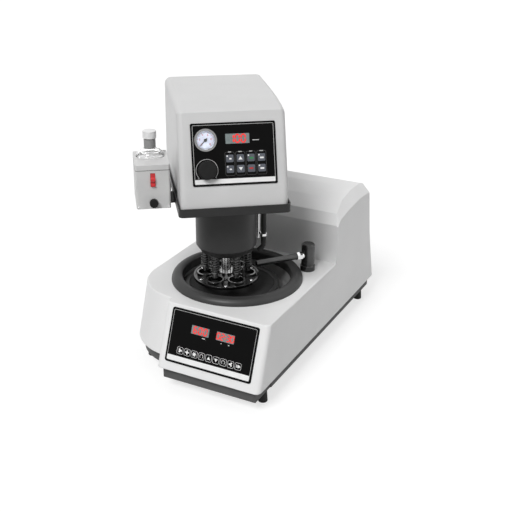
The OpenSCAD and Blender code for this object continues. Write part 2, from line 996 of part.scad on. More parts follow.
module driven_pulley() {
  color("silver")
    at_platen()
      lift(pulley_z)
        difference() {
          pulley(driven_pulley_d, spindle_d);
          for (a = [0:60:300])
            rotate([0, 0, a])
              translate([(driven_pulley_d + spindle_d) / 4, 0, -overrun])
                cylinder(d = spindle_d * 0.8, h = pulley_w + 2 * overrun);
        }
}

module belt_outline(gap) {
  hull() {
    at_motor()
      circle(d = drive_pulley_d + 2 * gap);
    at_platen()
      circle(d = driven_pulley_d + 2 * gap);
  }
}

module drive_belt() {
  color("black")
    lift(belt_z)
      linear_extrude(belt_w)
        difference() {
          belt_outline(belt_play + belt_t);
          belt_outline(belt_play);
        }
}

module inverter() {
  color("lightslategray")
    translate([inverter_x, inverter_y, floor_z])
      difference() {
        linear_extrude(inverter_h)
          rounded_rect(inverter_w, inverter_l, box_round);
        for (i = [-4:4])
          translate([i * inverter_w / 10, inverter_l / 2, inverter_h * 0.12])
            linear_extrude(inverter_h)
              square([inverter_w / 20, inverter_l / 2], center = true);
      }
}

module power_inlet() {
  color("black")
    on_rear_face(inlet_x, inlet_z)
      difference() {
        union() {
          linear_extrude(inlet_rim)
            rounded_rect(inlet_w, inlet_h, inlet_rim);
          lift(play - inlet_depth)
            linear_extrude(inlet_depth)
              square([
                inlet_w - 2 * (inlet_rim + play),
                inlet_h - 2 * (inlet_rim + play)
              ], center = true);
        }
        translate([0, inlet_h * 0.2, inlet_rim - inlet_depth * 0.7])
          difference() {
            linear_extrude(inlet_depth)
              rounded_rect(inlet_w * 0.6, inlet_h * 0.3, inlet_rim);
            for (pin = [[-1, 1], [0, -1], [1, 1]])
              translate([
                pin[0] * inlet_w * 0.15, pin[1] * inlet_h * 0.04, -overrun
              ])
                linear_extrude(inlet_depth * 0.6)
                  square([inlet_rim * 2 / 3, inlet_rim * 4 / 3], center = true);
          }
        switch_well();
      }
}

// Well that the rocker tips in
module switch_well() {
  depth = switch_l / 2 + inlet_rim;
  translate([0, -inlet_h * 0.25, inlet_rim - depth])
    linear_extrude(depth + overrun)
      square([switch_w + 2 * play, switch_l + 2 * play], center = true);
}

// Rocker about the X axis: two faces in a shallow V over a round belly on its pivot
module rocker(w, l, tilt) {
  reach = l / 2;
  dip = reach * tan(tilt);
  translate([-w / 2, 0, 0])
    rotate([90, 0, 90])
      linear_extrude(w)
        polygon([
          [-reach, 0], [-reach * 0.35, -reach * 0.3], [reach * 0.35, -reach * 0.3],
          [reach, 0], [reach, reach * 0.3], [0, reach * 0.3 - dip],
          [-reach, reach * 0.3]
        ]);
  rotate([0, 90, 0])
    cylinder(r = reach * 0.5, h = w, center = true);
}

module power_switch() {
  color("red")
    on_rear_face(inlet_x, inlet_z)
      translate([0, -inlet_h * 0.25, inlet_rim - switch_l * 0.1])
        rotate([switch_tilt, 0, 0])
          rocker(switch_w, switch_l * 0.96, switch_tilt);
}

module rear_cover() {
  color("dimgray")
    on_rear_face(vent_x, vent_z)
      difference() {
        linear_extrude(vent_t)
          rounded_rect(vent_w, vent_h, box_round);
        for (i = [0:vent_slots - 1])
          translate([0, (i - (vent_slots - 1) / 2) * vent_h * 0.09, -overrun])
            linear_extrude(vent_t + 2 * overrun)
              rounded_rect(vent_w * 0.7, vent_h * 0.04, vent_h * 0.018);
      }
}

// Pipe down from the bowl and out at the back, with a round elbow
module drain_form(d, top, end_y) {
  translate([drain_x, drain_y, service_z])
    cylinder(d = d, h = top - service_z);
  translate([drain_x, drain_y, service_z])
    sphere(d = d);
  translate([drain_x, drain_y, service_z])
    rotate([-90, 0, 0])
      cylinder(d = d, h = end_y - drain_y);
}

module drain_spout() {
  top = bowl_floor_z - 4 * bowl_wall;
  end_y = frame_rear_y + spout_l;
  barb = frame_wall / 4;
  color("gray")
    difference() {
      union() {
        drain_form(drain_pipe_d, top, end_y);
        for (i = [1:3])
          translate([drain_x, end_y - i * spout_l / 5, service_z])
            rotate([-90, 0, 0])
              cylinder(d1 = drain_pipe_d + 2 * barb, d2 = drain_pipe_d, h = spout_l / 6);
      }
      drain_form(drain_bore_d, top + overrun, end_y + overrun);
      translate([drain_x, end_y - hose_socket_l, service_z])
        rotate([-90, 0, 0])
          cylinder(d = hose_socket_d, h = hose_socket_l + overrun);
    }
}

module water_inlet() {
  start_y = frame_rear_y - 3 * frame_wall;
  end_y = rear_foot_y + water_thread_l;
  foot_z = deck_z - 8 * shell_wall;
  color("goldenrod") {
    translate([tap_x, start_y, service_z])
      rotate([-90, 0, 0])
        difference() {
          union() {
            cylinder(d = water_thread_d, h = end_y - start_y);
            cylinder(d = water_thread_d + thread_step, h = rear_foot_y - start_y);
          }
          lift(water_pipe_d)
            cylinder(d = water_pipe_d, h = end_y - start_y);
        }
    translate([tap_x, frame_rear_y, service_z])
      rotate([-90, 0, 0])
        cylinder(d = water_thread_d * 1.28, h = frame_wall * 1.5, $fn = 6);
    translate([tap_x, tap_y, service_z])
      rotate([-90, 0, 0])
        cylinder(d = water_pipe_d, h = frame_rear_y - tap_y - 2 * frame_wall);
    translate([tap_x, tap_y, service_z])
      cylinder(d = water_pipe_d, h = foot_z - service_z);
    translate([tap_x, tap_y, service_z])
      sphere(d = water_pipe_d);
  }
}

module tap_base() {
  spigot_h = tap_base_d / 2;
  color("dimgray")
    at_tap() {
      rotate_extrude()
        polygon([
          [0, deck_z - 8 * shell_wall], [water_thread_d / 2, deck_z - 8 * shell_wall],
          [water_thread_d / 2, deck_z], [tap_base_d / 2, deck_z],
          [tap_base_d / 2, deck_z + tap_base_h - 2 * overrun],
          [tap_base_d / 2 - overrun, deck_z + tap_base_h - overrun],
          [tap_base_d / 2 - 2 * overrun, deck_z + tap_base_h],
          [tap_post_d / 3, deck_z + tap_base_h],
          [tap_post_d / 3, deck_z + tap_base_h + spigot_h],
          [0, deck_z + tap_base_h + spigot_h]
        ]);
      lift(deck_z - 3 * shell_wall)
        difference() {
          cylinder(d = water_thread_d * 1.5, h = 2 * shell_wall, $fn = 6);
          lift(-overrun)
            cylinder(d = water_thread_d, h = 2 * shell_wall + 2 * overrun);
        }
    }
}

module tap_post() {
  spigot_h = tap_base_d / 2;
  bevel = tap_post_d / 12;
  color("dimgray")
    at_tap()
      rotate_extrude()
        polygon([
          [tap_post_d / 3 + run_fit, deck_z + tap_base_h],
          [tap_post_d / 2, deck_z + tap_base_h],
          [tap_post_d / 2, deck_z + tap_h - bevel],
          [tap_post_d / 2 - bevel, deck_z + tap_h], [0, deck_z + tap_h],
          [0, deck_z + tap_base_h + spigot_h + play],
          [tap_post_d / 3 + run_fit, deck_z + tap_base_h + spigot_h + play]
        ]);
}

// Along the arm: +Z leads away from the post
module on_arm() {
  at_tap()
    lift(deck_z + arm_h)
      rotate([0, 90, arm_heading])
        children();
}

module tap_nut() {
  seat = sqrt(pow(tap_post_d / 2, 2) - pow(arm_d / 2, 2));
  color("silver")
    on_arm()
      difference() {
        union() {
          cylinder(d = arm_d + nut_collar, h = nut_reach + nut_l);
          lift(nut_reach)
            cylinder(d = arm_d * 1.4, h = nut_l, $fn = 6);
        }
        cylinder(d = arm_d, h = nut_reach + nut_l + overrun);
        rotate([0, -90, 0])
          cylinder(d = tap_post_d, h = 2 * arm_d, center = true);
        lift(-overrun)
          cylinder(d = 2 * arm_d, h = seat);
      }
}

module tap_arm() {
  seat = tap_post_d / 2;
  color("dimgray")
    on_arm()
      difference() {
        lift(seat - arm_d / 4)
          cylinder(d = arm_d, h = arm_reach - seat + arm_d / 4);
        rotate([0, -90, 0])
          cylinder(d = tap_post_d, h = 2 * arm_d, center = true);
        lift(seat + overrun)
          cylinder(d = arm_d * 0.72, h = arm_reach);
      }
}

module column() {
  flange_r = column_r + 5 * frame_wall;
  color("gray")
    at_column()
      rotate_extrude()
        polygon([
          [0, floor_z], [flange_r, floor_z], [flange_r, floor_z + 2 * frame_wall],
          [column_r, floor_z + 4 * frame_wall], [column_r, deck_z],
          [column_r + column_lip, deck_z], [column_r + column_lip, deck_z + shell_wall],
          [column_r, deck_z + 2 * shell_wall],
          [column_r, collar_z - hub_outer_r + column_r],
          [hub_outer_r, collar_z - shell_wall], [hub_outer_r, collar_z],
          [column_r, collar_z], [column_r, hub_top_z + 2 * flange_t],
          [column_r - flange_t, hub_top_z + 3 * flange_t],
          [0, hub_top_z + 3 * flange_t]
        ]);
}

// Splash ring

// Outline from the foot over the crown to the inner lip, drawn in by inset
function ring_curve(inset) = concat(
  arc(crown_r, deck_z, ring_r - crown_r - inset, crown_h - inset, 0, 90, 6),
  arc(crown_r, deck_z + crown_h - lip_fall, crown_r - lip_r - inset, lip_fall - inset, lip_turn, 180, 5)
);

module splash_ring() {
  inner = ring_curve(ring_wall);
  color("dimgray")
    at_ring()
      rotate_extrude()
        polygon(concat(
          ring_curve(0),
          [[lip_r, deck_z - lip_drop], [lip_r + ring_wall, deck_z - lip_drop]],
          [for (i = [len(inner) - 1:-1:0]) inner[i]]
        ));
}

// Platen

module platen_spindle() {
  foot = pulley_z - belt_play;
  color("silver")
    at_platen() {
      lift(foot)
        cylinder(d = spindle_d, h = platen_z - foot);
      lift(platen_z - hub_t)
        cylinder(r = hub_r, h = hub_t);
      for (a = [0, 180])
        rotate([0, 0, a])
          translate([drive_pin_r, 0, platen_z])
            cylinder(d = drive_pin_d, h = platen_t / 2);
    }
}

module platen() {
  skirt = platen_t / 2;
  color("gray")
    at_platen()
      difference() {
        rotate_extrude()
          polygon([
            [0, platen_z], [platen_r - skirt, platen_z],
            [platen_r - skirt, platen_z - skirt],
            [platen_r - clamp_wall, platen_z - skirt],
            [platen_r - clamp_wall, platen_z + platen_t], [0, platen_z + platen_t]
          ]);
        for (a = [0, 180])
          rotate([0, 0, a])
            translate([drive_pin_r, 0, platen_z - overrun])
              cylinder(d = drive_pin_d, h = platen_t / 2 + overrun);
      }
}

module abrasive_disc() {
  color("darkslategray")
    at_platen()
      lift(platen_z + platen_t)
        cylinder(r = platen_r - clamp_wall, h = paper_t);
}

module clamp_ring() {
  outer = platen_r;
  color("silver")
    at_platen()
      rotate_extrude()
        polygon([
          [platen_r - clamp_wall, platen_z], [outer, platen_z],
          [outer, paper_z + clamp_wall / 2], [outer - clamp_wall / 2, paper_z + clamp_wall],
          [platen_r - clamp_lip + clamp_wall, paper_z + clamp_wall],
          [platen_r - clamp_lip, paper_z], [platen_r - clamp_wall, paper_z]
        ]);
}

// Head casing

module head_tray() {
  l = tray_front + tray_back;
  color("dimgray")
    at_head()
      difference() {
        translate([head_shift, (tray_back - tray_front) / 2, tray_z])
          difference() {
            linear_extrude(tray_h)
              rounded_rect(tray_w, l, tray_round);
            lift(tray_t)
              linear_extrude(tray_h)
                rounded_rect(
                  tray_w - 2 * tray_t + overrun, l - 2 * tray_t + overrun,
                  tray_round - tray_t
                );
          }
        lift(tray_z - overrun)
          cylinder(r = drum_hole_r, h = tray_h);
        translate([0, head_reach, tray_z - overrun])
          cylinder(r = hub_outer_r + run_fit, h = tray_h);
        translate([tube_x, 0, tray_z - overrun])
          cylinder(d = tube_d, h = tray_h);
        translate([rod_x, rod_y, tray_z - overrun])
          cylinder(d = rod_d, h = tray_h);
        translate([air_x, tray_back - 2 * tray_t, tray_z + tray_h / 2 + tray_t / 2])
          rotate([-90, 0, 0])
            cylinder(d = air_d + run_fit, h = 3 * tray_t);
      }
}

// Side view of the cover as [forward, up], from its foot at the front round to its foot at the back
function cover_outline() =
  let (
    depth = face_front + cover_back - back_draw,
    crown = [for (s = roof_shares) [face_front - s[0] * depth, face_z + s[1] * roof_rise]]
  )
  concat(
    [[strip_front, tray_top_z - cover_round], [strip_front, strip_z], [face_front, face_z]],
    crown,
    [[-cover_back, tray_top_z - cover_round]]
  );

module cover_slice(x, inset) {
  translate([x, 0, 0])
    rotate([90, 0, 90])
      linear_extrude(slice, center = true)
        mirror([1, 0])
          offset(delta = -inset)
            polygon(cover_outline());
}

module cover_form(inset) {
  half = cover_w / 2 - inset - slice / 2;
  hull()
    for (side = [-1, 1], a = [0:30:90])
      cover_slice(
        head_shift + side * (half - cover_round * (1 - sin(a))),
        inset + cover_round * (1 - cos(a))
      );
}

module head_cover() {
  color("white")
    difference() {
      at_head()
        difference() {
          cover_form(0);
          cover_form(cover_wall);
          translate([-tray_w, -2 * tray_front, tray_top_z - 2 * cover_round])
            cube([2 * tray_w, 4 * tray_front + tray_back, 2 * cover_round]);
        }
      on_head_face(gauge_x, gauge_s)
        lift(-2 * cover_wall)
          cylinder(d = gauge_d - 2 * gauge_proud, h = 3 * cover_wall);
      on_head_face(gauge_x, knob_s)
        lift(-2 * cover_wall)
          cylinder(d = regulator_d / 2, h = 3 * cover_wall);
    }
}

module head_arm() {
  beam = boss_r * 1.6;
  color("slategray")
    at_head()
      difference() {
        union() {
          translate([0, head_reach, tray_z - hub_drop])
            cylinder(r = hub_outer_r, h = hub_top_z - tray_z + hub_drop);
          lift(arm_z)
            cylinder(r = boss_r, h = boss_h);
          translate([-beam / 2, 0, arm_z])
            cube([beam, head_reach, arm_t]);
          for (x = [-beam / 2, beam / 2 - rib_t])
            translate([x, head_reach - hub_outer_r, arm_z + arm_t])
              rotate([90, 0, 90])
                linear_extrude(rib_t)
                  polygon([
                    [0, 0], [0, arm_t], [boss_r + hub_outer_r - head_reach, 0]
                  ]);
          translate([-arm_leg_x, boss_r + rib_t, arm_z])
            cube([2 * arm_leg_x, 2 * rib_t, arm_t]);
          for (x = [-arm_leg_x, arm_leg_x])
            translate([x, boss_r + 2 * rib_t, tray_top_z])
              cylinder(d = 2 * rib_t, h = arm_z + arm_t - tray_top_z);
        }
        translate([0, head_reach, tray_z - hub_drop - overrun])
          cylinder(r = column_r + bush_t, h = hub_top_z - tray_z + hub_drop + 2 * overrun);
        lift(arm_z - overrun)
          cylinder(d = quill_d + 2 * run_fit, h = boss_h + 2 * overrun);
      }
}

module pivot_bushes() {
  bush_l = 2 * column_r;
  color("goldenrod")
    at_column() {
      rotate_extrude()
        polygon([
          [column_r + run_fit, collar_z], [hub_outer_r, collar_z],
          [hub_outer_r, collar_z + flange_t], [column_r + bush_t, collar_z + flange_t],
          [column_r + bush_t, collar_z + bush_l], [column_r + run_fit, collar_z + bush_l]
        ]);
      rotate_extrude()
        polygon([
          [column_r + run_fit, hub_top_z - bush_l],
          [column_r + bush_t, hub_top_z - bush_l], [column_r + bush_t, hub_top_z],
          [hub_outer_r, hub_top_z], [hub_outer_r, hub_top_z + flange_t],
          [column_r + run_fit, hub_top_z + flange_t]
        ]);
    }
}

module head_panel() {
  middle = head_panel_low + head_panel_h / 2;
  color("black")
    difference() {
      union() {
        on_head_face(head_shift + overrun, middle)
          linear_extrude(panel_t)
            rounded_rect(head_panel_w, head_panel_h, head_panel_round);
        for (col = [0:3], row = [0, 1])
          on_head_face(
            head_key_x + col * head_key_pitch, head_key_s + row * head_key_rise
          )
            linear_extrude(panel_t + key_lift)
              rounded_rect(head_key, head_key, key_round);
      }
      on_head_face(head_window_x, head_window_s)
        lift(panel_t - key_lift)
          linear_extrude(panel_t)
            rounded_rect(head_window_w, head_window_h, window_round);
      on_head_face(gauge_x, gauge_s)
        lift(-overrun)
          cylinder(d = gauge_d - 2 * gauge_proud, h = panel_t + 2 * overrun);
      on_head_face(gauge_x, knob_s)
        lift(-overrun)
          cylinder(d = regulator_d / 2, h = panel_t + 2 * overrun);
    }
}

module gauge_case() {
  color("silver")
    on_head_face(gauge_x, gauge_s)
      difference() {
        union() {
          lift(panel_t)
            cylinder(d = gauge_d, h = gauge_proud);
          lift(-gauge_depth)
            cylinder(d = gauge_d - 2 * gauge_proud, h = gauge_depth + panel_t);
        }
        lift(panel_t - gauge_bezel)
          difference() {
            cylinder(d = gauge_d - 2 * gauge_proud - gauge_bezel, h = gauge_proud + 2 * gauge_bezel);
            lift(-overrun)
              cylinder(d = needle_pin_d, h = gauge_bezel + 2 * overrun);
          }
      }
}

module gauge_needle() {
  dial = panel_t - gauge_bezel;
  color("black")
    on_head_face(gauge_x, gauge_s)
      lift(dial + needle_gap)
        rotate([0, 0, needle_park])
          difference() {
            union() {
              cylinder(d = 3 * needle_pin_d, h = 2 * needle_t);
              linear_extrude(needle_t)
                polygon([
                  [-needle_l * 0.3, -needle_w / 2], [needle_l, -needle_w / 6],
                  [needle_l, needle_w / 6], [-needle_l * 0.3, needle_w / 2]
                ]);
            }
            lift(-overrun)
              cylinder(d = needle_pin_d + 2 * run_fit, h = needle_t * 2 + 2 * overrun);
          }
}

module regulator() {
  color("silver")
    on_head_face(gauge_x, knob_s)
      union() {
        lift(-cover_wall - regulator_l)
          cylinder(d = regulator_d, h = regulator_l);
        lift(-cover_wall - overrun)
          cylinder(d = regulator_d / 2, h = cover_wall + panel_t + overrun);
        lift(panel_t - overrun)
          cylinder(d = stem_d, h = knob_h * 0.7 + overrun);
      }
}

module regulator_knob() {
  color("black")
    on_head_face(gauge_x, knob_s)
      lift(panel_t + play)
        difference() {
          union() {
            cylinder(d = knob_d, h = knob_h * 0.8);
            lift(knob_h * 0.8)
              cylinder(d1 = knob_d, d2 = knob_d * 0.86, h = knob_h * 0.2);
          }
          lift(-overrun)
            cylinder(d = stem_d + 2 * run_fit, h = knob_h * 0.7 + overrun);
          for (i = [0:knob_flutes - 1])
            rotate([0, 0, i * 360 / knob_flutes])
              translate([knob_d / 2 + knob_d * 0.02, 0, knob_h * 0.15])
                cylinder(d = knob_d * 0.08, h = knob_h, $fn = 16);
        }
}

module dispenser_bracket() {
  right = -box_x - box_w / 2;
  color("dimgray")
    at_head()
      translate([-right, -box_front / 2, tray_z]) {
        cube([bracket_w, box_front, tray_t]);
        cube([tray_t, box_front, bracket_h]);
      }
}

module at_bottle() {
  at_head()
    translate([box_x, bottle_y, 0])
      children();
}

module dispenser_box() {
  color("lightgray")
    difference() {
      at_head()
        difference() {
          union() {
            translate([box_x, box_l / 2 - box_front, box_z])
              linear_extrude(box_h)
                rounded_rect(box_w, box_l, box_round);
            translate([box_x, -box_front, dose_knob_z])
              rotate([90, 0, 0])
                cylinder(d = stem_d, h = dose_knob_h * 0.7);
          }
          translate([
            box_x, -box_front, dose_switch_z
          ])
            cube([
              dose_switch_w + 2 * play, dose_switch_l,
              dose_switch_l + 2 * play
            ], center = true);
        }
      at_bottle()
        lift(bottle_z)
          cylinder(d = bottle_d + 2 * well_gap, h = box_h);
    }
}

module dispenser_switch() {
  color("red")
    at_head()
      translate([box_x, -box_front + dose_switch_l * 0.08, dose_switch_z])
        rotate([90 - switch_tilt, 0, 0])
          rocker(dose_switch_w, dose_switch_l * 0.96, switch_tilt);
}

module dispenser_knob() {
  color("black")
    at_head()
      translate([box_x, -box_front - play, dose_knob_z])
        rotate([90, 0, 0])
          difference() {
            cylinder(d = dose_knob_d, h = dose_knob_h);
            lift(-overrun)
              cylinder(d = stem_d + 2 * run_fit, h = dose_knob_h * 0.7 + overrun);
            for (i = [0:11])
              rotate([0, 0, i * 30])
                translate([dose_knob_d / 2, 0, -overrun])
                  cylinder(d = dose_knob_d * 0.1, h = 2 * dose_knob_h,
                    $fn = 16);
          }
}

module bottle() {
  shoulder_z = box_top_z;
  neck_z = shoulder_z + shoulder_h;
  top_z = box_top_z + cap_top_h - overrun - bottle_wall;
  r = bottle_d / 2;
  neck = bottle_neck_d / 2;
  color("whitesmoke")
    at_bottle()
      rotate_extrude()
        polygon(concat(
          [[0, bottle_z], [r - bottle_round, bottle_z], [r, bottle_z + bottle_round]],
          arc(neck, shoulder_z, r - neck, shoulder_h, 0, shoulder_turn, 6),
          [
            [neck, neck_z], [neck, top_z], [neck - bottle_wall, top_z],
            [neck - bottle_wall, neck_z - bottle_wall]
          ],
          arc(neck - bottle_wall, shoulder_z, r - neck, shoulder_h - bottle_wall,
            shoulder_turn, 0, 5),
          [[r - bottle_wall, bottle_z + bottle_round],
          [r - bottle_wall - bottle_round, bottle_z + bottle_wall],
          [0, bottle_z + bottle_wall]]
        ));
}

module bottle_cap() {
  top_z = box_top_z + cap_top_h;
  color("whitesmoke")
    at_bottle()
      difference() {
        lift(top_z - cap_h)
          cylinder(d = cap_d, h = cap_h);
        lift(top_z - cap_h - overrun)
          cylinder(d = bottle_neck_d + 2 * run_fit, h = cap_h - bottle_wall);
        for (i = [0:17])
          rotate([0, 0, i * 20])
            translate([cap_d / 2 + overrun / 4, 0, top_z - cap_h - overrun])
              cylinder(d = overrun * 1.5, h = cap_h, $fn = 16);
      }
}

// Drip tube: straight down from the tray, then a slimmer bend in towards the platen and its tip
module tube_form(d, tail, lift) {
  low = deck_z + tube_low;
  translate([tube_x, 0, low])
    cylinder(d = d, h = tray_z + 2 * tray_t + lift - low);
  translate([tube_x - tube_bend_r, 0, low])
    rotate([-90, 0, 0]) {
      rotate([0, 0, -tube_lap])
        rotate_extrude(angle = tube_bend + 2 * tube_lap)
          translate([tube_bend_r, 0])
            circle(d = d - tube_step);
      rotate([0, 0, tube_bend])
        translate([tube_bend_r, 0, 0])
          rotate([-90, 0, 0])
            cylinder(d = d, h = tail);
    }
}

module drip_tube() {
  color("black")
    at_head()
      difference() {
        tube_form(tube_d, tube_tail, 0);
        tube_form(tube_bore_d, tube_tail + overrun, overrun);
      }
}

module nozzle_rod() {
  low = deck_z + rod_low;
  gap = norm([tube_x - rod_x, rod_y]);
  turn = atan2(-rod_y, tube_x - rod_x);
  color("silver")
    at_head()
      difference() {
        union() {
          translate([rod_x, rod_y, low])
            cylinder(d = rod_d, h = tray_z + 2 * tray_t - low);
          translate([tube_x, 0, low + 2 * clip_h])
            cylinder(d = tube_d + 2 * clip_wall, h = clip_h);
          translate([rod_x, rod_y, low + 2 * clip_h])
            rotate([0, 0, turn])
              translate([0, -clip_wall, 0])
                cube([gap, 2 * clip_wall, clip_h]);
        }
        translate([tube_x, 0, low + clip_h])
          cylinder(d = tube_d, h = 3 * clip_h);
      }
}

module air_inlet() {
  color("goldenrod")
    at_head()
      translate([air_x, tray_back - 2 * tray_t, tray_z + tray_h / 2 + tray_t / 2])
        rotate([-90, 0, 0])
          difference() {
            union() {
              cylinder(d = air_d, h = 2 * tray_t + 2 * air_d);
              lift(2 * tray_t)
                cylinder(d = air_d * 1.5, h = air_d * 0.6, $fn = 6);
            }
            lift(tray_t)
              cylinder(d = air_d * 0.6, h = 4 * air_d);
          }
}

// Clamp lever on the hub below the tray, hanging down while it is loose
module lock_lever() {
  boss = hub_outer_r * 0.4;
  color("black")
    at_head()
      translate([0, head_reach + hub_outer_r, tray_z - hub_drop / 2])
        rotate([-90, 0, 0]) {
          cylinder(d = boss, h = boss);
          lift(boss / 3)
            linear_extrude(boss / 2)
              polygon([
                [-boss / 2, 0], [boss / 2, 0], [boss / 3, lever_l], [-boss / 3, lever_l]
              ]);
          translate([0, lever_l, boss / 3 + boss / 4])
            sphere(d = boss * 0.9);
        }
}

// Quill and its motor

module quill_sleeve() {
  color("silver")
    at_head()
      difference() {
        union() {
          lift(quill_low_z)
            cylinder(d = quill_d, h = quill_top_z - quill_low_z);
          lift(quill_top_z)
            cylinder(r = quill_flange_r, h = quill_flange_t);
        }
        lift(quill_low_z - overrun)
          cylinder(d = rotor_d + 2 * run_fit, h = quill_top_z - quill_low_z + 2 * quill_flange_t);
      }
}

module gear_motor() {
  z = quill_top_z + quill_flange_t;
  color("gray")
    at_head()
      difference() {
        union() {
          lift(z)
            linear_extrude(gear_h * 0.4)
              rounded_rect(gear_w, gear_w, edge_r / 2);
          lift(z)
            cylinder(d = gear_w * 0.9, h = gear_h);
        }
        lift(z - overrun)
          cylinder(d = shaft_end_d + 2 * run_fit, h = gear_h * 0.4 + overrun);
      }
}

module rotor_shaft() {
  shoulder_z = quill_top_z + quill_flange_t / 2;
  color("silver")
    at_head() {
      lift(holder_z + web_t)
        cylinder(d = rotor_d, h = shoulder_z - holder_z - web_t);
      lift(shoulder_z)
        cylinder(d = shaft_end_d, h = quill_flange_t / 2 + gear_h * 0.35);
    }
}

module drum() {
  r = drum_d / 2;
  color("dimgray")
    at_head()
      difference() {
        rotate_extrude()
          polygon([
            [rotor_d / 2, drum_z], [r - drum_bevel, drum_z], [r, drum_z + drum_bevel_h],
            [r, drum_z + drum_h], [r - drum_wall, drum_z + drum_h],
            [r - drum_wall, drum_z + drum_floor_t], [rotor_d, drum_z + drum_floor_t],
            [rotor_d, drum_z + drum_h], [rotor_d / 2, drum_z + drum_h]
          ]);
        at_fingers()
          lift(drum_z - overrun)
            cylinder(d = finger_d + 2 * run_fit, h = finger_bore_z - drum_z + overrun);
      }
}

module chuck() {
  face = holder_z + holder_t;
  color("silver")
    at_head()
      difference() {
        union() {
          lift(face)
            cylinder(d = chuck_d, h = chuck_h);
          lift(holder_z + web_t)
            cylinder(d = spigot_d, h = holder_t);
        }
        lift(holder_z)
          cylinder(d = rotor_d, h = holder_t + chuck_h + overrun);
      }
}

module specimen_holder() {
  color("silver")
    at_head()
      difference() {
        union() {
          lift(holder_z)
            cylinder(r = holder_r, h = web_t);
          lift(holder_z)
            difference() {
              cylinder(r = holder_r, h = holder_t);
              lift(web_t)
                cylinder(r = holder_r - rim_w, h = holder_t);
            }
          lift(holder_z)
            cylinder(r = boss_hub_r, h = holder_t);
          at_fingers()
            lift(holder_z)
              cylinder(d = cup_d, h = cup_h);
          rotate([0, 0, finger_phase - pin_turn])
            translate([pin_r, 0, holder_z])
              cylinder(d = pin_d, h = pin_h);
        }
        at_fingers()
          lift(holder_z - overrun)
            cylinder(d = specimen_d, h = cup_h + 2 * overrun);
        lift(holder_z + web_t)
          cylinder(d = chuck_d > spigot_d ? spigot_d : chuck_d, h = cup_h);
      }
}

// Fingers

module finger(i) {
  seat_z = holder_z + seat_h;
  tip_z = holder_z + tip_h;
  color("silver")
    at_head()
      rotate([0, 0, finger_phase + 60 * i])
        translate([pitch_r, 0, 0])
          rotate_extrude()
            polygon(concat(
              [[0, tip_z]],
              arc(tip_d / 2 - tip_round, tip_z + tip_round, tip_round, tip_round, -90, 0, 4),
              [
                [tip_d / 2, seat_z - seat_t], [seat_d / 2, seat_z - seat_t],
                [seat_d / 2, seat_z], [finger_d / 2, seat_z],
                [finger_d / 2, finger_rod_z], [0, finger_rod_z]
              ]
            ));
}

// Height along the spring after so many turns: close turns at both ends, open ones between
function spring_z(turn) =
  turn < 1 ? end_pitch * turn
  : turn > spring_turns - 1 ? spring_rise - end_pitch * (spring_turns - turn)
  : end_pitch + open_pitch * (turn - 1);

function spring_point(turn) = [
  spring_r * cos(360 * turn), spring_r * sin(360 * turn), spring_low_z + spring_z(turn)
];

function unit(v) = v / norm(v);

// One ring of the wire, square to its path
function wire_ring(turn) =
  let (
    step = 1 / (2 * rings_per_turn),
    along = unit(spring_point(turn + step) - spring_point(turn - step)),
    out = [cos(360 * turn), sin(360 * turn), 0],
    side = unit(cross(along, out)),
    across = cross(side, along)
  )
  [
    for (k = [0:wire_sides - 1])
      let (a = 360 * k / wire_sides)
      spring_point(turn) + wire_r * (cos(a) * across + sin(a) * side)
  ];

// The tube as one closed form: rings joined by triangles, both ends closed
module finger_spring() {
  rings = spring_turns * rings_per_turn;
  points = [for (i = [0:rings]) each wire_ring(i / rings_per_turn)];
  wall = [
    for (i = [0:rings - 1], k = [0:wire_sides - 1])
      let (
        a = i * wire_sides + k,
        b = i * wire_sides + (k + 1) % wire_sides,
        c = a + wire_sides,
        d = b + wire_sides
      )
      each [[a, b, d], [a, d, c]]
  ];
  last = rings * wire_sides;
  ends = [
    for (k = [1:wire_sides - 2])
      each [[0, k + 1, k], [last, last + k, last + k + 1]]
  ];
  polyhedron(points = points, faces = concat(wall, ends));
}

// Least distance between turns, measured between the points of neighbouring turns
function spring_gap() =
  let (n = spring_turns * rings_per_turn)
  min([
    for (i = [0:n - rings_per_turn + 1])
      for (j = [i + rings_per_turn - 1:min(n, i + rings_per_turn + 1)])
        norm(spring_point(i / rings_per_turn) - spring_point(j / rings_per_turn)) - wire_d
  ]);

module finger_springs() {
  echo("least gap between the turns of a finger spring", spring_gap());
  color("silver")
    at_head()
      at_fingers()
        finger_spring();
}

base_housing();
underframe();
feet();
base_panel();
bowl();
spindle_housing();
spindle_bearings();
main_motor();
drive_belt();
inverter();
power_inlet();
drain_spout();
water_inlet();
tap_base();
rear_cover();
column();
platen_spindle();
driven_pulley();
platen();
abrasive_disc();
clamp_ring();
motor_shaft();
drive_pulley();
splash_ring();
tap_post();
tap_nut();
tap_arm();
power_switch();
head_tray();
head_cover();
head_arm();
pivot_bushes();
head_panel();
gauge_case();
regulator();
dispenser_bracket();
dispenser_box();
drip_tube();
nozzle_rod();
air_inlet();
lock_lever();
gauge_needle();
regulator_knob();
dispenser_switch();
dispenser_knob();
bottle();
bottle_cap();
quill_sleeve();
gear_motor();
rotor_shaft();
drum();
chuck();
specimen_holder();
finger(0);  // finger_1
finger(1);  // finger_2
finger(2);  // finger_3
finger(3);  // finger_4
finger(4);  // finger_5
finger(5);  // finger_6
finger_springs();
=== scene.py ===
# %% [markdown]
# # Dressing a bench grinder-polisher
#
# The construction model of this machine comes in as a fixed frame: every housing, shaft and knob is
# already in its place. This notebook gives each of them its finish and adds the small things that a
# construction model leaves out, such as the printing on the foil panels, the gauge's dial, the wire of
# the springs and the heads of the screws. Everything is worked out as arrays of points.

import bmesh
import bpy
import math
import numpy as np
from mathutils import Matrix, Vector


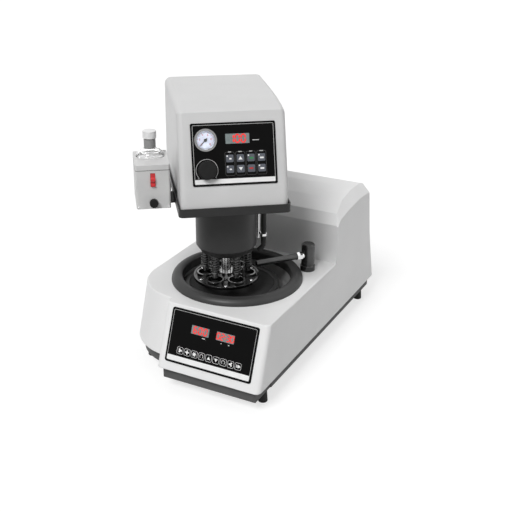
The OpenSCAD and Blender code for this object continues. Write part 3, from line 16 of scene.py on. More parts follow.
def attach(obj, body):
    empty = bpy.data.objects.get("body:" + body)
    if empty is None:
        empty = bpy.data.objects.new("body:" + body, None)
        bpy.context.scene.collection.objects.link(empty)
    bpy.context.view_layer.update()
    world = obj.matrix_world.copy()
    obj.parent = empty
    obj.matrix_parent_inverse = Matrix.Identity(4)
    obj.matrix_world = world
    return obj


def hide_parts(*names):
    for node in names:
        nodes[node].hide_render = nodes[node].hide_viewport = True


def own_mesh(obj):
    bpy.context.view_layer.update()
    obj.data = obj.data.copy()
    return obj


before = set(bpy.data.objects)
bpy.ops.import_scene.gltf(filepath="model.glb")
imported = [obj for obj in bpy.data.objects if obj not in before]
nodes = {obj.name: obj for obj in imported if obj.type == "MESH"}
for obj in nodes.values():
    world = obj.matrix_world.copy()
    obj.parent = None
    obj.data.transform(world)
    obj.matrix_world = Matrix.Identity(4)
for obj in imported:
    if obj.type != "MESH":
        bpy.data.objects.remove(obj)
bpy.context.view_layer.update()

# %% [markdown]
# ## The camera
#
# A product photograph is taken with a long lens from a little above the object. The camera's place and
# its three directions come from matching straight edges of the machine with the picture: the lens is
# 63 mm on a 36 mm sensor. The matrix's columns are the camera's right, its up and its backward
# direction, because a Blender camera looks along its own -Z.

# %% Place the camera
mm = 0.001


def add_object(name, data):
    """A new object in the scene that holds this mesh, camera or lamp."""
    made = bpy.data.objects.new(name, data)
    bpy.context.scene.collection.objects.link(made)
    return made


picture_width = 512
focal_pixels = 900
sensor_width = 36
camera_place = np.array([844.6, -1656.3, 1022.0]) * mm
camera_right = Vector((0.88932, 0.45722, 0.00752))
camera_up = Vector((-0.19328, 0.36093, 0.91235))
camera_forward = Vector((-0.41443, 0.81282, -0.40935))

camera_data = bpy.data.cameras.new("camera")
camera_data.sensor_width = sensor_width
camera_data.lens = focal_pixels * sensor_width / picture_width
camera = add_object("camera", camera_data)
camera_turn = Matrix((camera_right, camera_up, -camera_forward)).transposed()
camera.matrix_world = Matrix.Translation(camera_place) @ camera_turn.to_4x4()
bpy.context.scene.camera = camera
print("camera lens", round(camera_data.lens, 2), "mm")

# %% [markdown]
# ## The machine's own planes
#
# The base's panel lies on a face that leans back 21 degrees, and the head's panel on one that leans
# 19.4 degrees on a head that is itself turned by 37 degrees. A point on such a face is given by three
# numbers that are easy to measure: how far across, how far up and how far out. These functions turn
# whole arrays of such points into the frame's own coordinates.

# %% Functions that place points on the machine
deck_height = 183.0
head_place = np.array([3.6, -144.0])
head_turn = math.radians(37)
base_lean = math.radians(21)
head_lean = math.radians(19.4)
base_fold_forward = 276.0
head_fold_forward, head_fold_height = 112.5, 435.0
base_panel_middle = np.array([54.0, -63.5, 0.02])


def leaning_face(points, forward, height, lean):
    """A face that leans back: y = up sin(lean) - out cos(lean) - forward,
    z = up cos(lean) + out sin(lean) + height, and x is the distance across."""
    across, up, out = points.T
    y = up * math.sin(lean) - out * math.cos(lean) - forward
    z = up * math.cos(lean) + out * math.sin(lean) + height
    return np.stack([across, y, z], axis=1)


def in_head(points):
    """The head's own frame: turned about the upright axis by head_turn, then moved to the
    spindle: x cos - y sin, x sin + y cos."""
    c, s = math.cos(head_turn), math.sin(head_turn)
    x = points[:, 0] * c - points[:, 1] * s + head_place[0]
    y = points[:, 0] * s + points[:, 1] * c + head_place[1]
    return np.stack([x, y, points[:, 2]], axis=1)


def on_base_panel(points):
    """Across and up from the middle of the base's panel, out from the foil's back, which lies
    0.02 mm above the housing's face."""
    return leaning_face(
        points + base_panel_middle, base_fold_forward, deck_height, base_lean
    )


def on_head_panel(points):
    """Across from the spindle's plane, up from the fold of the head's face, out from the face."""
    return in_head(leaning_face(points, head_fold_forward, head_fold_height, head_lean))


for name, place in (("base", on_base_panel), ("head", on_head_panel)):
    print(name, "panel's origin lies at", place(np.zeros((1, 3)))[0].round(1), "mm")

# %% [markdown]
# ## Three ways to build a solid from arrays
#
# Printing, labels and digits are flat shapes with a hair of thickness: an outline at one height, the
# same outline at another, and a face for each side. A border is the same with a hole in it. Turned
# parts, screws and wire are a stack of loops, one behind the other. Each builder gives back its points
# and its faces, and `gather` joins many such solids into one mesh.

# %% Builders for prisms, frames and stacks of loops


def prism(outline, low, high):
    """A flat solid: the anticlockwise outline at height low and again at height high."""
    n = len(outline)
    ring = np.arange(n)
    after = np.roll(ring, -1)
    points = np.vstack([np.c_[outline, np.full(n, low)], np.c_[outline, np.full(n, high)]])
    sides = np.stack([ring, after, after + n, ring + n], axis=1).tolist()
    return points, sides + [ring[::-1].tolist(), (ring + n).tolist()]


def frame_prism(outer, inner, low, high):
    """A flat solid with a hole: four loops, all joined: outer low, outer high, inner high and
    inner low."""
    n = len(outer)
    points = np.vstack([
        np.c_[outer, np.full(n, low)], np.c_[outer, np.full(n, high)],
        np.c_[inner, np.full(n, high)], np.c_[inner, np.full(n, low)],
    ])
    ring = np.arange(n)
    after = np.roll(ring, -1)
    starts = np.arange(4)[:, None] * n
    ends = np.roll(starts, -1)
    faces = np.stack([starts + ring, starts + after, ends + after, ends + ring], axis=2)
    return points, faces.reshape(-1, 4).tolist()


def stacked(loops, capped=True):
    """A solid from loops of equal length: quads join neighbours, and a face closes each end."""
    loops = np.asarray(loops, float)
    count, n = loops.shape[:2]
    ring = np.arange(n)
    after = np.roll(ring, -1)
    starts = np.arange(count - 1)[:, None] * n
    faces = np.stack(
        [starts + ring, starts + after, starts + n + after, starts + n + ring], axis=2
    ).reshape(-1, 4).tolist()
    if capped:
        faces += [ring[::-1].tolist(), (ring + (count - 1) * n).tolist()]
    return loops.reshape(-1, 3), faces


def turned(profile, steps=48):
    """A turned solid: each (radius, height) of the profile becomes a loop
    (r cos t, r sin t, h), from the lowest loop inside out to the last."""
    t = np.linspace(0, 2 * np.pi, steps, endpoint=False)
    radius, height = np.asarray(profile, float).T
    x = radius[:, None] * np.cos(t)
    y = radius[:, None] * np.sin(t)
    z = np.broadcast_to(height[:, None], x.shape)
    return stacked(np.stack([x, y, z], axis=2))


def gather(parts):
    """Many solids as one: each one's face numbers start where the points before it end."""
    points, faces, start = [], [], 0
    for part_points, part_faces in parts:
        points.append(part_points)
        faces += [[i + start for i in face] for face in part_faces]
        start += len(part_points)
    return np.vstack(points), faces


def moved(part, across=0.0, up=0.0, out=0.0):
    """The same solid a step further across, up and out."""
    return part[0] + np.array([across, up, out]), part[1]


def make_piece(name, parts, place, body, material, smooth=False):
    """Puts the solids into one mesh at their place in the frame, and lets it ride on its body."""
    points, faces = gather(parts)
    mesh = bpy.data.meshes.new(name)
    mesh.from_pydata((place(points) * mm).tolist(), [], faces)
    if smooth:
        mesh.polygons.foreach_set("use_smooth", np.ones(len(mesh.polygons), bool))
        mesh.set_sharp_from_angle(angle=math.radians(35))
    mesh.materials.append(material)
    piece = add_object(name, mesh)
    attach(piece, body)
    print(f"{name}: {len(points)} points, {len(faces)} faces, rides on {body}")
    return piece


print("a turned disc of 48 steps has", len(turned([(1, 0), (1, 1)])[1]), "faces")

# %% [markdown]
# ## Finishes
#
# The machine has a few families of finish: moulded white plastic, dark sheet metal with baked paint,
# turned and brushed metal, rubber, foil and clear plastic. What they share is built once as a group of
# shader nodes. `grain` is the texture of a moulded or painted surface: slow patches that change its
# colour by a hair, and a fine grain that changes roughness and height. `turned rings` are the fine
# circles that a lathe leaves, and `brushed lines` the straight ones of a belt grinder.

# %% A small helper for node trees


def add_node(tree, kind, **inputs):
    """Adds a node; each keyword is the name of an input (with _ for a space) and its value."""
    node = tree.nodes.new(kind)
    for key, value in inputs.items():
        node.inputs[key.replace("_", " ")].default_value = value
    return node


def grey(level):
    """A neutral colour from the level an eye reads off a picture, 0 to 255, as linear light."""
    v = level / 255
    linear = v / 12.92 if v <= 0.04045 else ((v + 0.055) / 1.055) ** 2.4
    return (linear, linear, linear, 1.0)


def tint(red, green, blue):
    """The same for a colour with three levels."""
    return (grey(red)[0], grey(green)[0], grey(blue)[0], 1.0)


def new_group(name, inputs, outputs):
    """An empty shader group with named sockets."""
    group = bpy.data.node_groups.new(name, "ShaderNodeTree")
    for socket, kind, value in inputs:
        made = group.interface.new_socket(socket, in_out="INPUT", socket_type=kind)
        made.default_value = value
    for socket, kind in outputs:
        group.interface.new_socket(socket, in_out="OUTPUT", socket_type=kind)
    return group, group.nodes.new("NodeGroupInput"), group.nodes.new("NodeGroupOutput")


def add_group(tree, group, settings):
    """Places a shader group in a material and gives its inputs their values."""
    placed = add_node(tree, "ShaderNodeGroup")
    placed.node_tree = group
    for socket, value in settings.items():
        placed.inputs[socket].default_value = value
    return placed


def new_material(name):
    """An empty material, its node tree and its Principled shader."""
    material = bpy.data.materials.new(name)
    material.use_nodes = True
    tree = material.node_tree
    return material, tree, tree.nodes["Principled BSDF"]


print("a middle grey is", round(grey(128)[0], 3), "in linear light")

# %% The grain group
COLOUR, NUMBER, VECTOR = "NodeSocketColor", "NodeSocketFloat", "NodeSocketVector"

grain, grain_in, grain_out = new_group(
    "grain",
    [
        ("Colour", COLOUR, (0.8, 0.8, 0.8, 1)), ("Patch Colour", COLOUR, (0.7, 0.7, 0.7, 1)),
        ("Patch Scale", NUMBER, 9.0), ("Grain Scale", NUMBER, 900.0),
        ("Roughness", NUMBER, 0.4), ("Spread", NUMBER, 0.1),
    ],
    [("Colour", COLOUR), ("Roughness", NUMBER), ("Height", NUMBER)],
)
on_object = add_node(grain, "ShaderNodeTexCoord")
patches = add_node(grain, "ShaderNodeTexNoise", Detail=3.0, Roughness=0.6)
fine = add_node(grain, "ShaderNodeTexNoise", Detail=2.0, Roughness=0.5)
smears = add_node(
    grain, "ShaderNodeTexNoise", Scale=38.0, Detail=4.0, Roughness=0.65, Distortion=0.8
)
patch_share = add_node(grain, "ShaderNodeMapRange")
patch_share.inputs["From Min"].default_value = 0.35
patch_share.inputs["From Max"].default_value = 0.68
colours = add_node(grain, "ShaderNodeMix")
colours.data_type = "RGBA"
centred = add_node(grain, "ShaderNodeMath")
centred.operation = "SUBTRACT"
centred.inputs[1].default_value = 0.5
spread = add_node(grain, "ShaderNodeMath")
spread.operation = "MULTIPLY_ADD"
join = grain.links.new
for noise in (patches, fine, smears):
    join(on_object.outputs["Object"], noise.inputs["Vector"])
join(grain_in.outputs["Patch Scale"], patches.inputs["Scale"])
join(grain_in.outputs["Grain Scale"], fine.inputs["Scale"])
join(patches.outputs["Fac"], patch_share.inputs["Value"])
join(patch_share.outputs["Result"], colours.inputs["Factor"])
join(grain_in.outputs["Colour"], colours.inputs["A"])
join(grain_in.outputs["Patch Colour"], colours.inputs["B"])
join(smears.outputs["Fac"], centred.inputs[0])
join(centred.outputs[0], spread.inputs[0])
join(grain_in.outputs["Spread"], spread.inputs[1])
join(grain_in.outputs["Roughness"], spread.inputs[2])
join(colours.outputs["Result"], grain_out.inputs["Colour"])
join(spread.outputs[0], grain_out.inputs["Roughness"])
join(fine.outputs["Fac"], grain_out.inputs["Height"])
print("made the group", grain.name)

# %% The turned rings group
rings, rings_in, rings_out = new_group(
    "turned rings",
    [("Centre", VECTOR, (0, 0, 0)), ("Rings per Metre", NUMBER, 1500.0)],
    [("Height", NUMBER)],
)
on_object = add_node(rings, "ShaderNodeTexCoord")
from_axis = add_node(rings, "ShaderNodeVectorMath")
from_axis.operation = "SUBTRACT"
flatten = add_node(rings, "ShaderNodeVectorMath")
flatten.operation = "MULTIPLY"
flatten.inputs[1].default_value = (1, 1, 0)
radius = add_node(rings, "ShaderNodeVectorMath")
radius.operation = "LENGTH"
combined = add_node(rings, "ShaderNodeCombineXYZ")
lines = add_node(rings, "ShaderNodeTexNoise", Detail=2.0)
join = rings.links.new
join(on_object.outputs["Object"], from_axis.inputs[0])
join(rings_in.outputs["Centre"], from_axis.inputs[1])
join(from_axis.outputs[0], flatten.inputs[0])
join(flatten.outputs[0], radius.inputs[0])
join(radius.outputs["Value"], combined.inputs["X"])
join(combined.outputs[0], lines.inputs["Vector"])
join(rings_in.outputs["Rings per Metre"], lines.inputs["Scale"])
join(lines.outputs["Fac"], rings_out.inputs["Height"])
print("made the group", rings.name)

# %% The brushed lines group
brushed, brushed_in, brushed_out = new_group(
    "brushed lines",
    [("Stretch", VECTOR, (1, 1, 0.02)), ("Lines per Metre", NUMBER, 1800.0)],
    [("Height", NUMBER)],
)
on_object = add_node(brushed, "ShaderNodeTexCoord")
stretched = add_node(brushed, "ShaderNodeVectorMath")
stretched.operation = "MULTIPLY"
lines = add_node(brushed, "ShaderNodeTexNoise", Detail=2.0)
join = brushed.links.new
join(on_object.outputs["Object"], stretched.inputs[0])
join(brushed_in.outputs["Stretch"], stretched.inputs[1])
join(stretched.outputs[0], lines.inputs["Vector"])
join(brushed_in.outputs["Lines per Metre"], lines.inputs["Scale"])
join(lines.outputs["Fac"], brushed_out.inputs["Height"])
print("made the group", brushed.name)

# %% [markdown]
# One function makes a finish from these groups. Constants such as the metal's share, the clear coat
# and the strength of reflections sit on the shader's own sockets. A Bevel node rounds each edge's
# shading by a fraction of a millimetre, as every real edge is rounded, and the grain's height goes on
# top of it through a Bump node.

# %% The function that makes a finish
bump_distance = 0.0004


def finish_of(
    name, colour, patch, roughness, spread=0.12, patch_scale=9.0, grain_scale=900.0, bump=0.05,
    metallic=0.0, coat=0.0, specular=0.5, edge=0.6, lines=None,
):
    """A Principled material: grain for colour and roughness, grain or tool marks for height."""
    material, tree, shader = new_material(name)
    shader.inputs["Metallic"].default_value = metallic
    shader.inputs["Coat Weight"].default_value = coat
    shader.inputs["Specular IOR Level"].default_value = specular
    surface = add_group(tree, grain, {
        "Colour": colour, "Patch Colour": patch, "Patch Scale": patch_scale,
        "Grain Scale": grain_scale, "Roughness": roughness, "Spread": spread,
    })
    bumped = add_node(tree, "ShaderNodeBump", Strength=bump, Distance=bump_distance)
    softened = add_node(tree, "ShaderNodeBevel", Radius=edge * mm)
    tree.links.new(softened.outputs["Normal"], bumped.inputs["Normal"])
    height = surface.outputs["Height"]
    if lines:
        height = add_group(tree, *lines).outputs["Height"]
    tree.links.new(surface.outputs["Colour"], shader.inputs["Base Color"])
    tree.links.new(surface.outputs["Roughness"], shader.inputs["Roughness"])
    tree.links.new(height, bumped.inputs["Height"])
    tree.links.new(bumped.outputs["Normal"], shader.inputs["Normal"])
    return material


print("a full bump is", bump_distance / mm, "mm high")

# %% [markdown]
# The white housings are the largest surfaces. They are moulded or sprayed with a satin skin: nearly
# white, a touch warmer in some places than in others, with a very fine orange-peel grain. The head's
# cover and the dispenser's box are sprayed sheet with a slightly coarser grain.

# %% White finishes
white_shell = finish_of(
    "white_shell", grey(235), grey(230), 0.34, patch_scale=6, grain_scale=1400, bump=0.04,
    coat=0.12, specular=0.4, edge=1.6,
)
cover_white = finish_of(
    "cover_white", grey(210), grey(205), 0.34, patch_scale=7, grain_scale=1900, bump=0.08,
    specular=0.4, edge=2.0,
)
box_white = finish_of(
    "box_white", tint(216, 216, 215), tint(207, 207, 207), 0.4, patch_scale=20, grain_scale=1900,
    bump=0.07, specular=0.4, edge=0.8,
)
cap_white = finish_of(
    "cap_white", grey(240), grey(230), 0.35, patch_scale=40, grain_scale=2500, bump=0.05, edge=0.5,
)
print("white finishes:", white_shell.name, cover_white.name, box_white.name, cap_white.name)

# %% [markdown]
# The dark parts differ in gloss more than in colour. The underframe is grained plastic, the tray is
# painted sheet, the drum has a smooth satin paint that shows one long highlight, and the splash ring
# is soft plastic whose crown catches the light. The tap is chromed in a dark tone.

# %% Dark finishes
dark_frame = finish_of(
    "dark_frame", grey(92), grey(84), 0.6, patch_scale=14, grain_scale=1500, bump=0.12,
    specular=0.2, edge=1.0,
)
tray_dark = finish_of(
    "tray_dark", grey(50), grey(44), 0.42, patch_scale=16, grain_scale=1600, bump=0.08,
    specular=0.2, edge=0.8,
)
drum_dark = finish_of(
    "drum_dark", grey(50), grey(44), 0.4, patch_scale=12, grain_scale=1200, bump=0.03,
    specular=0.25, edge=0.8,
)
ring_grey = finish_of(
    "ring_grey", grey(55), grey(49), 0.42, patch_scale=10, grain_scale=1300, bump=0.05,
    specular=0.3, edge=1.0,
)
bowl_grey = finish_of(
    "bowl_grey", grey(176), grey(160), 0.45, patch_scale=14, grain_scale=900, bump=0.06, edge=0.8,
)
foot_rubber = finish_of(
    "foot_rubber", grey(46), grey(36), 0.75, spread=0.2, patch_scale=60, grain_scale=1600, bump=0.3,
    specular=0.3, edge=0.5,
)
black_plastic = finish_of(
    "black_plastic", grey(26), grey(20), 0.5, patch_scale=60, grain_scale=2200, bump=0.15,
    specular=0.15, edge=0.4,
)
tap_dark = finish_of(
    "tap_dark", grey(78), grey(66), 0.24, spread=0.1, patch_scale=30, grain_scale=800, bump=0.02,
    metallic=0.9, edge=0.5, lines=(brushed, {"Stretch": (1, 1, 0.03), "Lines per Metre": 1500.0}),
)
paper_dark = finish_of(
    "paper_dark", grey(46), grey(40), 0.75, spread=0.25, patch_scale=25, grain_scale=3800,
    bump=0.6, specular=0.15, edge=0.2,
)
panel_foil = finish_of(
    "panel_foil", grey(6), grey(4), 0.3, spread=0.08, patch_scale=30, grain_scale=700, bump=0.02,
    specular=0.07, edge=0.3,
)
print("dark finishes:", dark_frame.name, tray_dark.name, drum_dark.name, ring_grey.name)

# %% [markdown]
# Metal is mostly reflection, so its colour is bright, and what makes it look turned, brushed or cast
# is the direction of its fine marks and how rough it is. The turning group's parts share the head's
# spindle as the centre of their rings, and the platen's parts have the platen's.

# %% Metal finishes
spindle_centre = (head_place[0] * mm, head_place[1] * mm, 0)
platen_centre = (2.0 * mm, -117.0 * mm, 0)
upright_lines = (brushed, {"Stretch": (1, 1, 0.02), "Lines per Metre": 1800.0})


def rings_round(centre, count=1500.0):
    """The turned rings about an upright axis through centre, count of them to the metre."""
    return rings, {"Centre": centre, "Rings per Metre": count}


holder_steel = finish_of(
    "holder_steel", grey(100), grey(84), 0.2, spread=0.14, patch_scale=40, bump=0.05, metallic=1.0,
    edge=0.5, lines=rings_round(spindle_centre, 2200.0),
)
chrome = finish_of(
    "chrome", grey(222), grey(212), 0.1, spread=0.06, patch_scale=40, bump=0.01, metallic=1.0,
    edge=0.3,
)
bearing_steel = finish_of(
    "bearing_steel", grey(196), grey(184), 0.24, patch_scale=50, bump=0.03, metallic=1.0, edge=0.4,
    lines=rings_round(platen_centre),
)
column_steel = finish_of(
    "column_steel", grey(190), grey(176), 0.22, patch_scale=30, bump=0.03, metallic=1.0, edge=0.6,
    lines=upright_lines,
)
spring_steel = finish_of(
    "spring_steel", grey(74), grey(60), 0.4, patch_scale=90, bump=0.05, metallic=0.6, edge=0.2,
)
band_steel = finish_of(
    "band_steel", grey(62), grey(54), 0.36, patch_scale=30, bump=0.05, metallic=0.7, edge=0.5,
    lines=rings_round(platen_centre, 1200.0),
)
platen_alu = finish_of(
    "platen_alu", grey(176), grey(164), 0.36, patch_scale=22, bump=0.08, metallic=1.0, edge=0.5,
    lines=rings_round(platen_centre, 900.0),
)
pulley_alu = finish_of(
    "pulley_alu", grey(184), grey(170), 0.34, patch_scale=30, bump=0.06, metallic=1.0, edge=0.5,
)
cast_grey = finish_of(
    "cast_grey", grey(128), grey(114), 0.55, patch_scale=18, grain_scale=420, bump=0.4,
    metallic=0.3, edge=1.2,
)
motor_grey = finish_of(
    "motor_grey", grey(120), grey(108), 0.5, patch_scale=20, grain_scale=600, bump=0.25,
    metallic=0.2, edge=0.8,
)
brass = finish_of(
    "brass", tint(205, 172, 104), tint(184, 148, 82), 0.28, patch_scale=60, bump=0.04,
    metallic=1.0, edge=0.3,
)
bronze = finish_of(
    "bronze", tint(178, 134, 84), tint(158, 114, 70), 0.38, patch_scale=60, bump=0.06,
    metallic=1.0, edge=0.3,
)
print("metal finishes:", holder_steel.name, chrome.name, brass.name, cast_grey.name)

# %% Finishes of the smaller parts
switch_red = finish_of(
    "switch_red", tint(206, 34, 40), tint(188, 26, 32), 0.3, patch_scale=60, grain_scale=1500,
    bump=0.04, coat=0.2, edge=0.6,
)
drain_grey = finish_of(
    "drain_grey", grey(150), grey(138), 0.45, patch_scale=40, grain_scale=1100, bump=0.1, edge=0.6,
)
belt_rubber = finish_of(
    "belt_rubber", grey(42), grey(32), 0.7, patch_scale=50, grain_scale=1500, bump=0.3, edge=0.4,
)
inverter_grey = finish_of(
    "inverter_grey", tint(118, 124, 130), tint(106, 112, 118), 0.5, patch_scale=24,
    grain_scale=1300, bump=0.15, edge=0.6,
)
silver_print = finish_of(
    "silver_print", grey(198), grey(186), 0.4, patch_scale=60, bump=0.02, metallic=0.3, edge=0.05,
)
white_print = finish_of(
    "white_print", grey(240), grey(232), 0.4, patch_scale=60, bump=0.02, edge=0.05,
)
window_tint = finish_of(
    "window_tint", tint(128, 138, 138), tint(112, 124, 124), 0.3, patch_scale=120, bump=0.02,
    edge=0.05,
)
key_grey = finish_of(
    "key_grey", tint(84, 88, 96), tint(72, 76, 84), 0.4, patch_scale=120, bump=0.05, edge=0.3,
)
frame_print = finish_of(
    "frame_print", grey(84), grey(72), 0.45, patch_scale=90, bump=0.02, edge=0.05,
)
# painted light: a white fill inside the bottle stands in for the brightness seen through its clear wall
painted_white_fill = finish_of(
    "painted_white_fill", grey(226), grey(216), 0.3, patch_scale=40, bump=0.02, edge=0.3,
)
rim_steel = finish_of(
    "rim_steel", grey(150), grey(136), 0.22, patch_scale=60, bump=0.03, metallic=1.0, edge=0.2,
)
dial_white = finish_of(
    "dial_white", tint(216, 222, 238), tint(208, 214, 232), 0.5, patch_scale=90, bump=0.02,
    edge=0.05,
)
green_print = finish_of(
    "green_print", tint(30, 140, 70), tint(24, 124, 60), 0.4, patch_scale=90, bump=0.02, edge=0.05,
)
red_print = finish_of(
    "red_print", tint(196, 40, 40), tint(178, 30, 32), 0.4, patch_scale=90, bump=0.02, edge=0.05,
)
blue_print = finish_of(
    "blue_print", tint(44, 58, 96), tint(36, 48, 84), 0.4, patch_scale=90, bump=0.02, edge=0.05,
)
dark_print = finish_of(
    "dark_print", grey(40), grey(30), 0.4, patch_scale=90, bump=0.02, edge=0.05,
)
print("prints and small finishes are ready")

# %% [markdown]
# The digits are lit from within, so their material sends out light of its own. A little noise keeps
# each segment from being perfectly even, as with real light bars.

# %% Lit digits
lit_red, tree, shader = new_material("lit_red")
shader.inputs["Base Color"].default_value = (0.05, 0.0, 0.0, 1)
shader.inputs["Roughness"].default_value = 0.5
shader.inputs["Emission Strength"].default_value = 1.0
on_object = add_node(tree, "ShaderNodeTexCoord")
glow = add_node(tree, "ShaderNodeTexNoise", Scale=300.0, Detail=1.0)
ramp = add_node(tree, "ShaderNodeMix")
ramp.data_type = "RGBA"
ramp.inputs["A"].default_value = (0.9, 0.0, 0.0, 1)
ramp.inputs["B"].default_value = (1.0, 0.02, 0.01, 1)
tree.links.new(on_object.outputs["Object"], glow.inputs["Vector"])
tree.links.new(glow.outputs["Fac"], ramp.inputs["Factor"])
tree.links.new(ramp.outputs["Result"], shader.inputs["Emission Color"])
print("made", lit_red.name)

# %% [markdown]
# The bottle and the gauge's cover are clear. Both have a wall with an outside and an inside, so the
# shader can let the light through and bend it as real plastic does: the middle stays clear and the
# edges turn grey. Transmission and the index are constants on the shader's own sockets, and only the
# roughness varies, from the faint smears of handling.

# %% Clear finishes
smear_spread = 0.03


def clear_of(name, colour, roughness, index):
    """Glass or clear plastic: full transmission with a smeared, nearly smooth skin."""
    material, tree, shader = new_material(name)
    shader.inputs["Transmission Weight"].default_value = 1.0
    shader.inputs["IOR"].default_value = index
    surface = add_group(tree, grain, {
        "Colour": colour, "Patch Colour": colour, "Roughness": roughness, "Spread": smear_spread,
    })
    tree.links.new(surface.outputs["Colour"], shader.inputs["Base Color"])
    tree.links.new(surface.outputs["Roughness"], shader.inputs["Roughness"])
    return material


clear_plastic = clear_of("clear_plastic", grey(250), 0.04, 1.3)
gauge_glass = clear_of("gauge_glass", grey(253), 0.02, 1.2)
print("made", clear_plastic.name, "and", gauge_glass.name)

# %% [markdown]
# ## Giving every node its finish
#
# The frame's nodes keep their shape. Each gets its material in all of its slots.

# %% Materials of the frame's nodes
finish_by_nodes = (
    (white_shell, "base_housing"),
    (cover_white, "head_cover"),
    (dark_frame, "underframe rear_cover"),
    (foot_rubber, "feet drip_tube"),
    (panel_foil, "base_panel head_panel"),
    (bowl_grey, "bowl"),
    (ring_grey, "splash_ring"),
    (cast_grey, "spindle_housing head_arm"),
    (bearing_steel, "spindle_bearings platen_spindle motor_shaft"),
    (motor_grey, "main_motor gear_motor"),
    (belt_rubber, "drive_belt"),
    (pulley_alu, "driven_pulley drive_pulley regulator"),
    (platen_alu, "platen"),
    (paper_dark, "abrasive_disc"),
    (band_steel, "clamp_ring"),
    (inverter_grey, "inverter"),
    (black_plastic, "power_inlet regulator_knob dispenser_knob lock_lever gauge_needle"),
    (drain_grey, "drain_spout"),
    (brass, "water_inlet air_inlet"),
    (tap_dark, "tap_base tap_post tap_arm"),
    (chrome, "tap_nut nozzle_rod chuck"),
    (rim_steel, "gauge_case"),
    (column_steel, "column quill_sleeve rotor_shaft"),
    (bronze, "pivot_bushes"),
    (tray_dark, "head_tray dispenser_bracket"),
    (drum_dark, "drum"),
    (holder_steel, "specimen_holder finger_1 finger_2 finger_3 finger_4 finger_5 finger_6"),
    (spring_steel, "finger_springs"),
    (switch_red, "power_switch dispenser_switch"),
    (box_white, "dispenser_box"),
    (clear_plastic, "bottle"),
    (cap_white, "bottle_cap"),
)
dressed = set()
for material, names in finish_by_nodes:
    for name in names.split():
        for material_slot in nodes[name].material_slots:
            material_slot.material = material
        dressed.add(name)
print("dressed", len(dressed), "nodes; left over:", sorted(set(nodes) - dressed))

# %% [markdown]
# ## Smooth skins for the two large housings
#
# The housing of the base and the cover of the head come as loose flat triangles, so their rounded
# edges would show as narrow bands. A copy of each is merged into one skin, its coplanar triangles are
# joined to whole faces, and a fold between two wide faces stays sharp, as do steep edges. Weighted
# normals then keep every wide face flat and let only the narrow faces of a rounding bend the light.
# The copy stands for the node it was taken from.

# %% Merged and smoothly shaded copies
same_point = 1e-5
same_plane = math.radians(0.5)


def smooth_skin(name, node, body, material, wide=4.0, fold=8, steep=42):
    """Joins close points and coplanar faces, then sorts the edges: steep edges and the folds
    between faces whose area over perimeter is above wide (mm) are sharp, the others smooth."""
    mesh = nodes[node].data.copy()
    mesh.name = name
    shell = bmesh.new()
    shell.from_mesh(mesh)
    before = len(shell.faces)
    bmesh.ops.remove_doubles(shell, verts=shell.verts, dist=same_point)
    bmesh.ops.dissolve_limit(
        shell, angle_limit=same_plane, verts=shell.verts, edges=shell.edges
    )
    for edge in shell.edges:
        turn = math.degrees(edge.calc_face_angle(math.pi))
        spread = min(face.calc_area() / face.calc_perimeter() for face in edge.link_faces)
        edge.smooth = turn < (fold if spread > wide * mm else steep)
    after = len(shell.faces)
    shell.to_mesh(mesh)
    shell.free()
    mesh.polygons.foreach_set("use_smooth", np.ones(len(mesh.polygons), bool))
    mesh.materials.clear()
    mesh.materials.append(material)
    piece = add_object(name, mesh)
    weighting = piece.modifiers.new("flat wide faces", "WEIGHTED_NORMAL")
    weighting.keep_sharp = True
    weighting.weight = 100
    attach(piece, body)
    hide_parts(node)
    print(f"{name}: {before} triangles became {after} faces")
    return piece


smooth_skin("housing_skin", "base_housing", "base", white_shell)
smooth_skin("cover_skin", "head_cover", "head", cover_white)

# %% [markdown]
# ## Outlines for printing
#
# Labels and keys need a few plain shapes: a rounded rectangle, a disc, an arrowhead, a blade wheel and
# the seven bars of a lit digit. Each is an array of corners that runs anticlockwise.

# %% Outline functions


def rounded(width, height, radius, steps=4):
    """A rounded rectangle: a quarter circle at each corner, (w/2 - r, h/2 - r) from the middle."""
    quarter = np.linspace(0, np.pi / 2, steps + 1)
    t = (quarter + np.arange(4)[:, None] * np.pi / 2).ravel()
    sign = np.repeat([[1, 1], [-1, 1], [-1, -1], [1, -1]], steps + 1, axis=0)
    middle = sign * np.array([width / 2 - radius, height / 2 - radius])
    return middle + radius * np.c_[np.cos(t), np.sin(t)]


def wheel(radius, blades, depth, steps=36):
    """A wheel with blades: r = radius (1 - depth + depth |cos(blades t / 2)|)."""
    t = np.linspace(0, 2 * np.pi, steps, endpoint=False)
    r = radius * (1 - depth + depth * np.abs(np.cos(blades * t / 2)))
    return np.c_[r * np.cos(t), r * np.sin(t)]


def arrow(size, up=True):
    """A triangle that points up or down."""
    corners = np.array([[-0.6, -0.45], [0.6, -0.45], [0.0, 0.55]]) * size
    return corners if up else corners[::-1] * np.array([1, -1])


def bar(start, end, thickness):
    """A bar with pointed ends from start to end: six corners round the line between them."""
    start, end = np.asarray(start, float), np.asarray(end, float)
    along = (end - start) / np.linalg.norm(end - start)
    side = np.array([-along[1], along[0]]) * thickness / 2
    tip = along * thickness / 2
    return np.array([
        start, start + tip - side, end - tip - side, end, end - tip + side, start + tip + side
    ])


def around(radius, degrees):
    """Places on a circle: radius (cos t, sin t) for each direction t, given in degrees."""
    t = np.radians(degrees)
    return radius * np.c_[np.cos(t), np.sin(t)]


def flat_arc(radius, width, first, last, low, high, steps=48):
    """A solid arc: one loop of four corners for each direction, stacked from first to last."""
    t = np.linspace(first, last, steps)
    outer, inner = around(radius + width / 2, t), around(radius - width / 2, t)
    loops = np.stack([
        np.c_[inner, np.full(steps, low)], np.c_[inner, np.full(steps, high)],
        np.c_[outer, np.full(steps, high)], np.c_[outer, np.full(steps, low)],
    ], axis=1)
    return stacked(loops)


